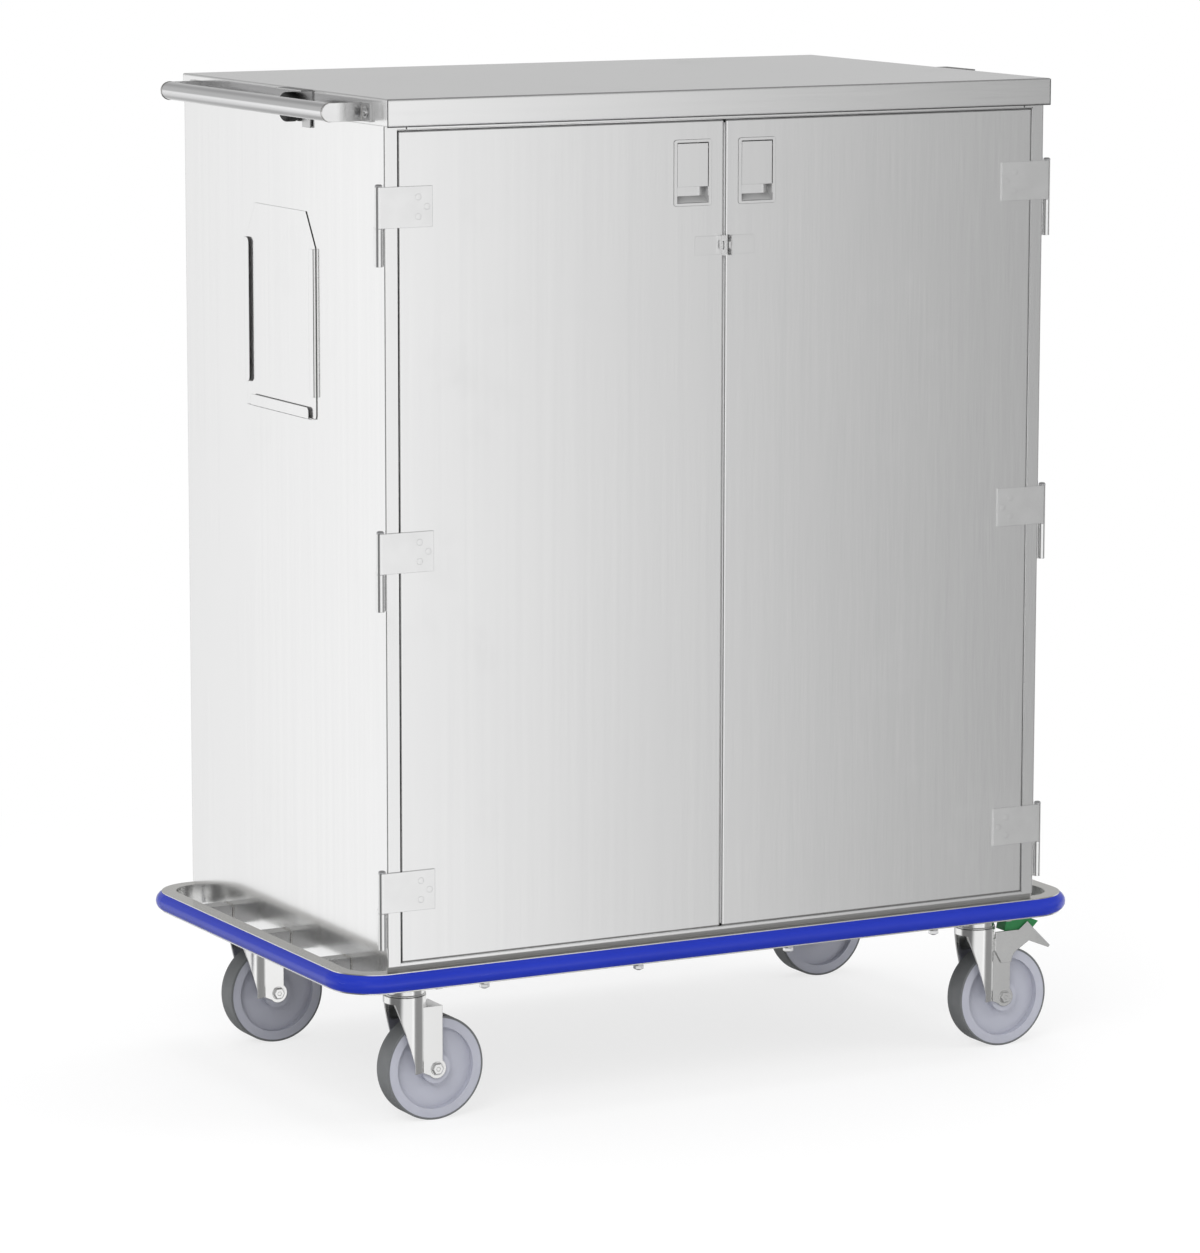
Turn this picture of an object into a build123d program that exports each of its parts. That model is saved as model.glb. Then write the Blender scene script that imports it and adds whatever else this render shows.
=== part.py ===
from build123d import *
import os

# Closed case cart: a stainless cabinet with two wrap-round doors on four swivel casters.
# Millimetres, +Z up, the doors face -Y, and the origin is on the floor under the middle.

# Cabinet body
cabinet_width = 1078.0
cabinet_depth = 673.0
cabinet_height = 1217.5
sheet = 1.5
bend_radius = 2.5
post_width = 20.0
jamb_depth = 32.0
stop_width = 14.0
rear_return = 25.0
skirt_depth = 35.0
sill_height = 4.0
header_height = 5.0
header_lip = 16.0
header_joint = 0.5
cap_height = 38.0
cap_overhang = 15.0

# Doors
door_thickness = 28.0
door_gap = 2.0
door_foot_gap = 1.2
door_side_gap = 2.0
seam_gap = 3.0
door_proud = 0.4
liner_sheet = 1.2
liner_flange = 18.0
seal_width = 10.0

# Hinges, three a side, with the pin outside the corner so that a door folds right back
hinge_count = 3
hinge_spacing = 482.0
hinge_top = 1096.0
hinge_height = 110.0
hinge_plate_height = 57.0
hinge_reach = 73.0
hinge_sheet = 2.5
hinge_offset = 7.5
barrel_diameter = 11.0
pin_diameter = 6.0
pin_clearance = 0.05
pin_head = 4.0
pin_dome = 3.2
knuckle_gap = 0.4
cabinet_leaf_length = 27.0
screw_diameter = 10.0
screw_head = 0.8
screw_row = 21.0
screw_nose = 7.0
screw_spread = 13.5

# Paddle latches
latch_centre = 52.5
latch_drop = 118.6
bezel_width = 61.0
bezel_height = 94.0
bezel_sheet = 1.5
bezel_corner = 4.0
cup_width = 51.0
cup_height = 86.0
cup_depth = 13.0
cup_ramp = 9.0
paddle_height = 63.0
paddle_sheet = 2.0
paddle_clearance = 0.8
paddle_gap = 1.5
paddle_skirt = 7.0
paddle_pin = 4.0
paddle_pin_drop = 7.5
paddle_pin_setback = 3.0
bolt_width = 16.0
bolt_thickness = 6.0
bolt_length = 70.0
bolt_clearance = 0.5

# Seal hasp at the seam
hasp_drop = 223.0
hasp_height = 27.0
hasp_length = 44.0
hasp_sheet = 1.5
ear_height = 29.0
ear_reach = 14.0
ear_inset = 3.0
slot_height = 12.5
slot_width = 5.5

# Base frame and outriggers
base_height = 38.0
base_rail = 40.0
base_wall = 2.5
frame_joint = 0.2
pad_length = 114.0
pad_width = 96.0
cross_rail = 40.0
outrigger_width = 28.0
outrigger_height = 28.5
outrigger_pitch = 203.0
outrigger_wall = 2.0

# Bumper rail and its blue strip
rail_width = 22.0
rail_height = 29.0
rail_lift = 4.0
rail_wall = 2.0
rail_front_gap = 5.3
rail_end_gap = 44.5
rail_corner = 64.5
strip_bulge = 9.0
strip_height = 26.0
strip_root = 8.0

# Fasteners under the base
base_bolt_pitch = 251.0
base_bolt_count = 4
base_bolt_inset = 20.0
hex_size = 14.0
hex_height = 5.5
bolt_shank = 8.0

# Casters
wheel_diameter = 152.4
wheel_width = 37.0
tread_thickness = 3.2
caster_height = 205.0
caster_inset_x = 59.0
caster_inset_y = 68.0
caster_trail = 40.0
plate_length = 102.0
plate_width = 86.0
plate_thickness = 4.0
plate_corner = 8.5
plate_bolts_x = 76.0
plate_bolts_y = 60.0
race_diameter = 58.0
race_height = 15.6
fork_gap = 0.4
fork_sheet = 3.0
head_diameter = 62.0
collar_height = 10.0
leg_spread = 41.0
leg_lead = 17.5
leg_front = 49.0
leg_drop = 17.0
leg_end_radius = 14.4
web_reach = 24.3
web_lead = 2.0
web_slope_low = 85.0
web_low = 73.0
kingpin_diameter = 14.0
kingpin_nut = 22.0
hub_diameter = 44.0
axle_diameter = 10.0
axle_clearance = 0.08
axle_head = 15.0
rim_inner_diameter = 120.0
web_thickness = 17.0

# Foot lever of the direction lock, on the front right caster
lever_sheet = 3.0
lever_gap = 0.4
lever_pin = 8.0
lever_setback = 8.0
lever_back = 11.0
lever_head = 18.5
lever_reach = 86.0
lever_fall = 11.0
lever_arm = 48.0
lever_foot = 30.0
tab_start = 6.0
tab_reach = 66.0
tab_height = 14.5
tab_width = 24.0

# Push handle
handle_diameter = 26.0
handle_wall = 2.0
handle_length = 552.0
handle_offset = 52.0
handle_drop = 21.0
arm_sheet = 4.0
arm_foot = 27.0
handle_bolt_tail = 5.0

# Card holder
holder_width = 233.0
holder_height = 295.0
holder_sheet = 1.2
holder_shift = 1.3
holder_drop = 173.5
holder_chamfer_x = 31.0
holder_chamfer_z = 50.0
holder_corner = 6.0
guide_height = 211.0
guide_lift = 32.5
guide_depth = 5.0
guide_lip = 15.0
guide_corner = 8.0
tray_lip = 16.0
tray_length = 196.0

# Door hold-backs
holdback_setback = 283.0
holdback_reach = 20.5
bumper_diameter = 42.0
bumper_drop = 27.0
bracket_length = 80.0
bracket_sheet = 2.0
bracket_lift = 3.9
bracket_tail = 12.0
hook_lead = 7.5
hook_width = 26.0

# Shelves on slotted standards
shelf_count = 2
shelf_pitch = 385.0
shelf_depth = 585.0
shelf_flange = 25.0
shelf_side_gap = 4.0
standard_width = 22.0
standard_depth = 9.0
standard_wall = 1.5
standard_margin = 40.0
standard_inset = 110.0
slot_pitch = 50.8
slot_long = 16.0
slot_short = 4.0
clip_reach = 26.0
clip_width = 14.0
clip_sheet = 2.5

# Heights and faces worked out from the sizes above
half_width = cabinet_width / 2
front_y = -cabinet_depth / 2
back_y = cabinet_depth / 2
base_bottom = caster_height
base_top = base_bottom + base_height
floor_z = base_top + sill_height
body_bottom = base_top
top_z = floor_z + cabinet_height
cap_under = top_z - cap_height
header_bottom = cap_under - header_height
door_bottom = floor_z + door_foot_gap
door_top = header_bottom - door_gap
post_inner = half_width - post_width
door_outer = post_inner - door_side_gap
door_inner = seam_gap / 2
door_face = front_y - door_proud
door_back = door_face + door_thickness
stop_face = front_y + jamb_depth
pin_x = half_width + hinge_offset
pin_y = door_face - hinge_sheet + barrel_diameter / 2
rail_outer_x = half_width + rail_end_gap + rail_width
rail_outer_y = -front_y + rail_width - rail_front_gap
rail_bottom = base_bottom + rail_lift
wheel_radius = wheel_diameter / 2
handle_z = top_z - handle_drop
handle_x = half_width + handle_offset
cap_side = half_width + sheet
foot_middle = handle_length / 2 + arm_foot / 2

os.makedirs("parts", exist_ok=True)


def level(z, x=0, y=0):
    # a horizontal plane, its origin over (x, y)
    return Plane((x, y, z))


def facing(y, x=0, z=0):
    # an upright plane facing the front: sketch x is X, sketch y is Z
    return Plane(origin=(x, y, z), x_dir=(1, 0, 0), z_dir=(0, -1, 0))


def sideways(x, y=0, z=0):
    # an upright plane facing +X: sketch x is Y, sketch y is Z
    return Plane(origin=(x, y, z), x_dir=(0, 1, 0), z_dir=(1, 0, 0))


def area(x0, x1, y0, y1, mode=Mode.ADD):
    # a rectangle in the sketch, between two corners
    with Locations(((x0 + x1) / 2, (y0 + y1) / 2)):
        Rectangle(abs(x1 - x0), abs(y1 - y0), mode=mode)


def block(x0, x1, y0, y1, z0, z1, mode=Mode.ADD):
    # a rectangular block between two corners
    with Locations(((x0 + x1) / 2, (y0 + y1) / 2, (z0 + z1) / 2)):
        Box(abs(x1 - x0), abs(y1 - y0), abs(z1 - z0), mode=mode)


def rod(x, y, low, high, radius, mode=Mode.ADD):
    # an upright round bar between two heights
    with Locations((x, y, (low + high) / 2)):
        Cylinder(radius, abs(high - low), mode=mode)


def mirror_if_left(side):
    # right-hand pieces are drawn first, and the left-hand ones are their mirror image
    if side < 0:
        mirror(about=Plane.YZ, mode=Mode.REPLACE)


def finish(piece, name):
    piece.part.label = name
    export_step(piece.part, f"parts/{name}.step")


def handle_bolt_holes():
    # the handle's two bolts go through the left side, panel and cap
    for end in (-1, 1):
        with Locations(Location((-half_width, end * foot_middle, handle_z), (0, 90, 0))):
            Cylinder(bolt_shank / 2, 4 * sheet, mode=Mode.SUBTRACT)


sides = ((-1, "left"), (1, "right"))
hinge_tops = [floor_z + hinge_top - n * hinge_spacing for n in range(hinge_count)]


# Side panels: one bent sheet each, with the front post, the door stop and a rear return
def make_side_panel(side):
    with BuildPart() as panel:
        with BuildSketch(level(body_bottom)):
            area(half_width - sheet, half_width, front_y, back_y - sheet)
            area(post_inner, half_width, front_y, front_y + sheet)
            area(post_inner, post_inner + sheet, front_y, stop_face)
            area(post_inner - stop_width, post_inner + sheet, stop_face - sheet, stop_face)
            area(half_width - rear_return, half_width, back_y - 2 * sheet, back_y - sheet)
        extrude(amount=top_z - sheet - body_bottom)
        corner = panel.edges().filter_by(Axis.Z).group_by(Axis.X)[-1].sort_by(Axis.Y)[0]
        fillet(corner, radius=bend_radius)
        block(half_width - sheet, half_width, front_y + rail_front_gap, back_y - rail_front_gap,
              body_bottom - skirt_depth, body_bottom)
        # the post's ear, which meets the header rail over the door
        block(post_inner - stop_width, post_inner, front_y, front_y + sheet,
              header_bottom, top_z - sheet)
        block(post_inner - stop_width, post_inner, front_y, stop_face,
              header_bottom, header_bottom + sheet)
        mirror_if_left(side)
        if side < 0:
            handle_bolt_holes()
    return panel


for side, word in sides:
    side_panel = make_side_panel(side)
    finish(side_panel, f"side_panel_{word}")

# Back panel between the two side panels
with BuildPart() as back_panel:
    block(-half_width, half_width, back_y - sheet, back_y, body_bottom, top_z - sheet)
    fillet(back_panel.edges().filter_by(Axis.Z).group_by(Axis.Y)[-1], radius=sheet / 2)
finish(back_panel, "back_panel")

# Top cap: a pan turned down all round, with a hem under its front overhang
with BuildPart() as top_cap:
    cap_front = front_y - cap_overhang
    with BuildSketch(level(cap_under)):
        area(-half_width - sheet, half_width + sheet, cap_front, back_y + sheet)
    extrude(amount=cap_height)
    fillet(top_cap.edges().filter_by(Axis.Z), radius=sheet)
    fillet(top_cap.faces().sort_by(Axis.Z)[-1].edges(), radius=bend_radius)
    with BuildSketch(level(cap_under)):
        area(-half_width, half_width, front_y, back_y)
    extrude(amount=cap_height - sheet, mode=Mode.SUBTRACT)
    with BuildSketch(level(cap_under + sheet)):
        area(-half_width, half_width, cap_front + sheet, front_y)
    extrude(amount=cap_height - 2 * sheet, mode=Mode.SUBTRACT)
    handle_bolt_holes()
finish(top_cap, "top_cap")

# Header rail over the doors, between the posts' ears, with the stop lip behind the doors
with BuildPart() as header_rail:
    header_end = post_inner - stop_width - header_joint
    with BuildSketch(sideways(-header_end)):
        area(front_y, front_y + sheet, header_bottom, top_z - sheet)
        area(front_y, stop_face, header_bottom, header_bottom + sheet)
        area(stop_face - sheet, stop_face, header_bottom - header_lip, header_bottom + sheet)
    extrude(amount=2 * header_end)
finish(header_rail, "header_rail")

# Cabinet floor: a shallow pan turned down all round, its front edge being the sill
with BuildPart() as floor_deck:
    deck_side = half_width - sheet
    deck_neck = post_inner - stop_width
    block(-deck_side, deck_side, stop_face, back_y - 2 * sheet, body_bottom, floor_z)
    block(-post_inner, post_inner, front_y, stop_face - sheet, body_bottom, floor_z)
    block(-deck_neck, deck_neck, stop_face - sheet, stop_face, body_bottom, floor_z)
    block(-deck_side + sheet, deck_side - sheet, stop_face + sheet, back_y - 3 * sheet,
          body_bottom, floor_z - sheet, mode=Mode.SUBTRACT)
    block(-deck_neck + sheet, deck_neck - sheet, front_y + sheet, stop_face + sheet,
          body_bottom, floor_z - sheet, mode=Mode.SUBTRACT)
finish(floor_deck, "floor_deck")

# Base frame: closed front and rear rails, with end and cross rails, open underneath, and four
# caster pads welded in between them
base_side = half_width - sheet
base_front = front_y + rail_front_gap
base_back = -base_front
caster_x = half_width - caster_inset_x
caster_y = -front_y - caster_inset_y
cross_x = caster_x - pad_length / 2 - cross_rail / 2
pad_centres = [(sx * caster_x, sy * caster_y) for sx in (-1, 1) for sy in (-1, 1)]
plate_holes = [(dx * plate_bolts_x / 2, dy * plate_bolts_y / 2) for dx in (-1, 1) for dy in (-1, 1)]
base_bolts = [
    ((n - (base_bolt_count - 1) / 2) * base_bolt_pitch, sy * (-front_y - base_bolt_inset))
    for n in range(base_bolt_count)
    for sy in (-1, 1)
]
with BuildPart() as base_frame:
    between = base_back - base_rail - frame_joint
    pad_top = base_bottom + base_wall
    for end in (-1, 1):
        block(-base_side, base_side, end * base_back, end * (base_back - base_rail),
              base_bottom, base_top)
        block(-base_side + base_wall, base_side - base_wall, end * (base_back - base_wall),
              end * (base_back - base_rail + base_wall), pad_top, base_top - base_wall,
              mode=Mode.SUBTRACT)
    for side, word in sides:
        for outer, inner, low in ((base_side, base_side - base_rail, pad_top + frame_joint),
                                  (cross_x + cross_rail / 2, cross_x - cross_rail / 2, base_bottom)):
            block(side * outer, side * inner, -between, between, low, base_top)
            block(side * (outer - base_wall), side * (inner + base_wall), -between, between,
                  low, base_top - base_wall, mode=Mode.SUBTRACT)
        for end in (-1, 1):
            block(side * (cross_x + cross_rail / 2 + frame_joint), side * base_side,
                  end * between, end * (caster_y - pad_width / 2), base_bottom, pad_top)
    with BuildSketch(level(base_bottom)):
        with Locations(*pad_centres):
            with Locations(*plate_holes):
                Circle(bolt_shank / 2 + bolt_clearance)
        with Locations(*base_bolts):
            Circle(bolt_shank / 2 + bolt_clearance)
    extrude(amount=base_wall, mode=Mode.SUBTRACT)
finish(base_frame, "base_frame")


# Outriggers: short channels from the side skirts out to the bumper rail, three at each end
def make_outriggers():
    inner = half_width
    outer = half_width + rail_end_gap
    top = base_bottom + outrigger_height
    with BuildPart() as channels:
        for row in (-1, 0, 1):
            y = row * outrigger_pitch
            for side, word in sides:
                with BuildSketch(level(base_bottom)):
                    area(side * inner, side * outer, y - outrigger_width / 2,
                         y + outrigger_width / 2)
                extrude(amount=outrigger_height)
                with BuildSketch(level(base_bottom)):
                    area(side * inner, side * outer,
                         y - outrigger_width / 2 + outrigger_wall,
                         y + outrigger_width / 2 - outrigger_wall)
                extrude(amount=top - outrigger_wall - base_bottom, mode=Mode.SUBTRACT)
    return channels


outriggers = make_outriggers()
finish(outriggers, "outriggers")


def ring(inset, radius, mode=Mode.ADD):
    # a rounded rectangle, set in from the outside of the bumper rail
    RectangleRounded(2 * (rail_outer_x - inset), 2 * (rail_outer_y - inset), radius, mode=mode)


# Bumper rail: a channel, open outwards, bent into one hoop round the cart
with BuildPart() as bumper_rail:
    with BuildSketch(level(rail_bottom)):
        ring(0, rail_corner)
        ring(rail_width, rail_corner - rail_width, mode=Mode.SUBTRACT)
    extrude(amount=rail_height)
    with BuildSketch(level(rail_bottom + rail_wall)):
        ring(0, rail_corner)
        ring(rail_width - rail_wall, rail_corner - rail_width + rail_wall, mode=Mode.SUBTRACT)
    extrude(amount=rail_height - 2 * rail_wall, mode=Mode.SUBTRACT)
finish(bumper_rail, "bumper_rail")

# Blue bumper strip: its root sits in the channel and its round nose stands out
with BuildPart() as bumper_strip:
    strip_middle = rail_bottom + rail_height / 2
    root_half = rail_height / 2 - rail_wall
    nose_half = strip_height / 2
    with BuildSketch(sideways(0)):
        with BuildLine():
            root_y = -rail_outer_y + strip_root
            nose_y = -rail_outer_y
            Polyline((nose_y, strip_middle - nose_half), (nose_y, strip_middle - root_half),
                     (root_y, strip_middle - root_half), (root_y, strip_middle + root_half),
                     (nose_y, strip_middle + root_half), (nose_y, strip_middle + nose_half))
            ThreePointArc((nose_y, strip_middle + nose_half),
                          (nose_y - strip_bulge, strip_middle),
                          (nose_y, strip_middle - nose_half))
        make_face()
    with BuildLine(level(strip_middle)) as strip_path:
        far_x = rail_outer_x
        far_y = rail_outer_y
        FilletPolyline((-far_x, -far_y), (far_x, -far_y), (far_x, far_y), (-far_x, far_y),
                       radius=rail_corner, close=True)
    sweep(path=strip_path.wires()[0])
finish(bumper_strip, "bumper_strip")

# Hex bolts under the base, heads down: frame bolts and caster plate bolts
with BuildPart() as underside_bolts:
    for centre in base_bolts:
        with BuildSketch(level(base_bottom, *centre)):
            RegularPolygon(hex_size / 2, 6, major_radius=False)
        extrude(amount=-hex_height)
        with BuildSketch(level(base_bottom, *centre)):
            Circle(bolt_shank / 2)
        extrude(amount=2 * base_wall + hex_height)
    for pad in pad_centres:
        for hole in plate_holes:
            centre = (pad[0] + hole[0], pad[1] + hole[1])
            with BuildSketch(level(base_bottom - plate_thickness, *centre)):
                RegularPolygon(hex_size / 2, 6, major_radius=False)
            extrude(amount=-hex_height)
            with BuildSketch(level(base_bottom - plate_thickness, *centre)):
                Circle(bolt_shank / 2)
            extrude(amount=plate_thickness + 2 * base_wall + hex_height)
finish(underside_bolts, "underside_bolts")

# Shelf standards: slotted channels fixed upright to the side panels inside
standard_bottom = floor_z + standard_margin
standard_top = header_bottom - header_lip - standard_margin
standard_rows = (stop_face + standard_inset, back_y - standard_inset)
slot_number = int((standard_top - standard_bottom) / slot_pitch)
with BuildPart() as shelf_standards:
    for side, word in sides:
        for y in standard_rows:
            wall = side * (half_width - sheet)
            nose = side * (half_width - sheet - standard_depth)
            with BuildSketch(level(standard_bottom)):
                area(wall, nose, y - standard_width / 2, y + standard_width / 2)
                area(wall, nose + side * standard_wall, y - standard_width / 2 + standard_wall,
                     y + standard_width / 2 - standard_wall, mode=Mode.SUBTRACT)
            extrude(amount=standard_top - standard_bottom)
            with BuildSketch(sideways(nose, y, (standard_bottom + standard_top) / 2)):
                with GridLocations(0, slot_pitch, 1, slot_number):
                    Rectangle(slot_short, slot_long)
            extrude(amount=side * standard_wall, mode=Mode.SUBTRACT)
finish(shelf_standards, "shelf_standards")

# Shelves: sheets turned down all round, resting on hooked clips in the slots
slots_middle = (standard_bottom + standard_top) / 2
lowest_slot = slots_middle - (slot_number - 1) * slot_pitch / 2
shelf_heights = []
for n in range(shelf_count):
    wanted = floor_z + (n + 1) * shelf_pitch
    shelf_heights.append(lowest_slot + round((wanted - lowest_slot) / slot_pitch) * slot_pitch)
shelf_half = half_width - sheet - standard_depth - shelf_side_gap
shelf_words = ("lower", "upper", "third", "fourth", "fifth", "sixth")
shelf_y = (stop_face + back_y - sheet) / 2
for shelf_z, word in zip(shelf_heights, shelf_words):
    with BuildPart() as shelf:
        with BuildSketch(level(shelf_z - shelf_flange, 0, shelf_y)):
            Rectangle(2 * shelf_half, shelf_depth)
        extrude(amount=shelf_flange)
        fillet(shelf.edges().filter_by(Axis.Z), radius=bend_radius)
        fillet(shelf.faces().sort_by(Axis.Z)[-1].edges(), radius=sheet)
        with BuildSketch(level(shelf_z - shelf_flange, 0, shelf_y)):
            Rectangle(2 * (shelf_half - sheet), shelf_depth - 2 * sheet)
        extrude(amount=shelf_flange - sheet, mode=Mode.SUBTRACT)
    finish(shelf, f"shelf_{word}")

with BuildPart() as shelf_clips:
    for shelf_z in shelf_heights:
        seat = shelf_z - shelf_flange
        for side, word in sides:
            for y in standard_rows:
                face = side * (half_width - sheet - standard_depth)
                end = side * (half_width - sheet - standard_depth - clip_reach)
                block(face, end, y - clip_width / 2, y + clip_width / 2, seat - clip_sheet, seat)
                block(face, face - side * clip_sheet, y - clip_width / 2, y + clip_width / 2,
                      seat - clip_reach, seat)
finish(shelf_clips, "shelf_clips")

# Door seal: a rubber strip on the stop, up both sides and over the top
with BuildPart() as door_seal:
    seal_outer = post_inner - sheet
    seal_top = header_bottom - sheet
    with BuildSketch(facing(stop_face - sheet)):
        area(-seal_outer, seal_outer, floor_z + door_foot_gap, seal_top)
        area(-seal_outer + seal_width, seal_outer - seal_width, floor_z, seal_top - seal_width,
             mode=Mode.SUBTRACT)
    extrude(amount=stop_face - sheet - door_back - door_proud)
finish(door_seal, "door_seal")

# Push handle: a tube along the left end, on two bent arms bolted to the side
handle_half = handle_length / 2
with BuildPart() as handle_tube:
    with BuildSketch(facing(-handle_half + arm_sheet, -handle_x, handle_z)):
        Circle(handle_diameter / 2)
        Circle(handle_diameter / 2 - handle_wall, mode=Mode.SUBTRACT)
    extrude(amount=-(handle_length - 2 * arm_sheet))
finish(handle_tube, "handle_tube")

with BuildPart() as handle_arms:
    for end in (-1, 1):
        outer_face = end * handle_half
        with BuildSketch(facing(outer_face, -handle_x, handle_z)):
            Circle(handle_diameter / 2)
            area(0, handle_x - cap_side, -handle_diameter / 2, handle_diameter / 2)
        extrude(amount=end * arm_sheet)
        with BuildSketch(sideways(-cap_side, end * foot_middle, handle_z)):
            Rectangle(arm_foot, handle_diameter)
        extrude(amount=-arm_sheet)
        with BuildSketch(sideways(-cap_side, end * foot_middle, handle_z)):
            Circle(bolt_shank / 2)
        extrude(amount=-arm_sheet, mode=Mode.SUBTRACT)
finish(handle_arms, "handle_arms")

with BuildPart() as handle_bolts:
    for end in (-1, 1):
        with BuildSketch(sideways(-cap_side - arm_sheet, end * foot_middle, handle_z)):
            RegularPolygon(hex_size / 2, 6, major_radius=False)
        extrude(amount=-hex_height)
        with BuildSketch(sideways(-cap_side - arm_sheet, end * foot_middle, handle_z)):
            Circle(bolt_shank / 2)
        extrude(amount=arm_sheet + 2 * sheet + handle_bolt_tail)
finish(handle_bolts, "handle_bolts")

# Card holder on the left end: one bent sheet, a chamfered plate with two guides and a tray lip
holder_top = top_z - holder_drop
holder_bottom = holder_top - holder_height
holder_near = holder_shift - holder_width / 2
holder_far = holder_shift + holder_width / 2
holder_face = -half_width - guide_depth
tray_near = holder_shift - tray_length / 2
tray_far = holder_shift + tray_length / 2
guide_low = holder_bottom + guide_lift
guide_high = guide_low + guide_height
with BuildPart() as card_holder:
    with BuildSketch(sideways(-half_width)) as plate:
        with BuildLine():
            Polyline((holder_near, holder_bottom), (holder_far, holder_bottom),
                     (holder_far, holder_top - holder_chamfer_z),
                     (holder_far - holder_chamfer_x, holder_top),
                     (holder_near + holder_chamfer_x, holder_top),
                     (holder_near, holder_top - holder_chamfer_z),
                     (holder_near, holder_bottom))
        make_face()
        fillet(plate.vertices().group_by(Axis.Y)[0], radius=holder_corner)
    extrude(amount=-holder_sheet)
    block(holder_face, -half_width, tray_near, tray_far, holder_bottom, holder_bottom + holder_sheet)
    with BuildSketch(sideways(holder_face)) as lip:
        area(tray_near, tray_far, holder_bottom, holder_bottom + tray_lip)
        fillet(lip.vertices().group_by(Axis.Y)[-1], radius=holder_corner)
    extrude(amount=holder_sheet)
    for end, edge in ((-1, holder_near), (1, holder_far)):
        block(holder_face, -half_width, edge, edge - end * holder_sheet, guide_low, guide_high)
        with BuildSketch(sideways(holder_face)) as lip:
            area(edge, edge - end * guide_lip, guide_low, guide_high)
            fillet(lip.vertices().sort_by(Axis.X)[::end][:2], radius=guide_corner)
        extrude(amount=holder_sheet)
finish(card_holder, "card_holder")

# Door hold-backs: a rubber bumper in a bent bracket, high on each end
holdback_y = front_y + holdback_setback
bumper_z = top_z - bumper_drop
bracket_top = bumper_z + bumper_diameter / 2 + bracket_sheet + bracket_lift
bracket_nose = holdback_y - bracket_length * 3 / 4
bracket_end = bracket_nose + bracket_length
hook_near = bracket_nose + hook_lead
with BuildPart() as holdback_brackets:
    for side, word in sides:
        inner = side * cap_side
        back = side * (cap_side + bracket_sheet)
        outer = side * (half_width + holdback_reach)
        block(inner, back, bracket_nose, bracket_end, bracket_top - bumper_diameter / 2, bracket_top)
        block(inner, outer, bracket_nose, bracket_end, bracket_top - bracket_sheet, bracket_top)
        block(inner, back, hook_near, hook_near + hook_width,
              bracket_top - bumper_diameter - bracket_tail, bracket_top)
finish(holdback_brackets, "holdback_brackets")

with BuildPart() as holdback_bumpers:
    for side, word in sides:
        bumper_root = cap_side + bracket_sheet
        with BuildSketch(sideways(side * bumper_root, holdback_y, bumper_z)):
            Circle(bumper_diameter / 2)
        extrude(amount=side * (half_width + holdback_reach - bumper_root))
    outer_rims = holdback_bumpers.faces().sort_by(Axis.X)
    fillet(outer_rims[0].edges() + outer_rims[-1].edges(), radius=bumper_diameter / 8)
finish(holdback_bumpers, "holdback_bumpers")


# Hinges: the door's leaf wraps on the upper knuckle, the cabinet's leaf on the lower one
def make_door_leaves(side):
    bore = pin_diameter / 2 + pin_clearance
    with BuildPart() as leaves:
        for top in hinge_tops:
            low = top - hinge_plate_height
            rod(pin_x, pin_y, low, top, barrel_diameter / 2)
            block(half_width - hinge_reach, pin_x, door_face - hinge_sheet, door_face, low, top)
            rod(pin_x, pin_y, low, top, bore, mode=Mode.SUBTRACT)
        mirror_if_left(side)
    return leaves


def make_screws(side):
    nose_x = half_width - hinge_reach + screw_nose
    with BuildPart() as screws:
        for top in hinge_tops:
            middle = top - hinge_plate_height / 2
            spots = [(nose_x, middle), (nose_x + screw_row / 2, middle + screw_spread),
                     (nose_x + screw_row / 2, middle - screw_spread)]
            for spot in spots:
                with BuildSketch(facing(door_face - hinge_sheet, *spot)):
                    Circle(screw_diameter / 2)
                extrude(amount=screw_head)
        mirror_if_left(side)
    return screws


with BuildPart() as hinge_cabinet_leaves:
    for side, word in sides:
        for top in hinge_tops:
            high = top - hinge_plate_height - knuckle_gap
            low = top - hinge_height
            leaf_y = pin_y + barrel_diameter / 2
            rod(side * pin_x, pin_y, low, high, barrel_diameter / 2)
            block(side * half_width, side * pin_x, leaf_y - hinge_sheet, leaf_y, low, high)
            block(side * half_width, side * (half_width + hinge_sheet), leaf_y - hinge_sheet,
                  pin_y + cabinet_leaf_length, low, high)
            rod(side * pin_x, pin_y, low, high, pin_diameter / 2, mode=Mode.SUBTRACT)
finish(hinge_cabinet_leaves, "hinge_cabinet_leaves")

with BuildPart() as hinge_pins:
    for side, word in sides:
        for top in hinge_tops:
            rod(side * pin_x, pin_y, top - hinge_height, top + knuckle_gap, pin_diameter / 2)
            rod(side * pin_x, pin_y, top + knuckle_gap, top + pin_head, barrel_diameter / 2)
    domes = hinge_pins.edges().filter_by(GeomType.CIRCLE)
    rims = [e for e in domes if any(abs(e.center().Z - top - pin_head) < pin_clearance
                                    for top in hinge_tops)]
    fillet(rims, radius=pin_dome)
finish(hinge_pins, "hinge_pins")

# Doors: a folded outer shell with a liner let into its back
latch_z = top_z - latch_drop
latch_top = latch_z + cup_height / 2
latch_low = latch_z - cup_height / 2
bolt_y = door_face + cup_depth + bezel_sheet + bolt_clearance + bolt_thickness / 2
bolt_top = door_top - bolt_clearance


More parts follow.
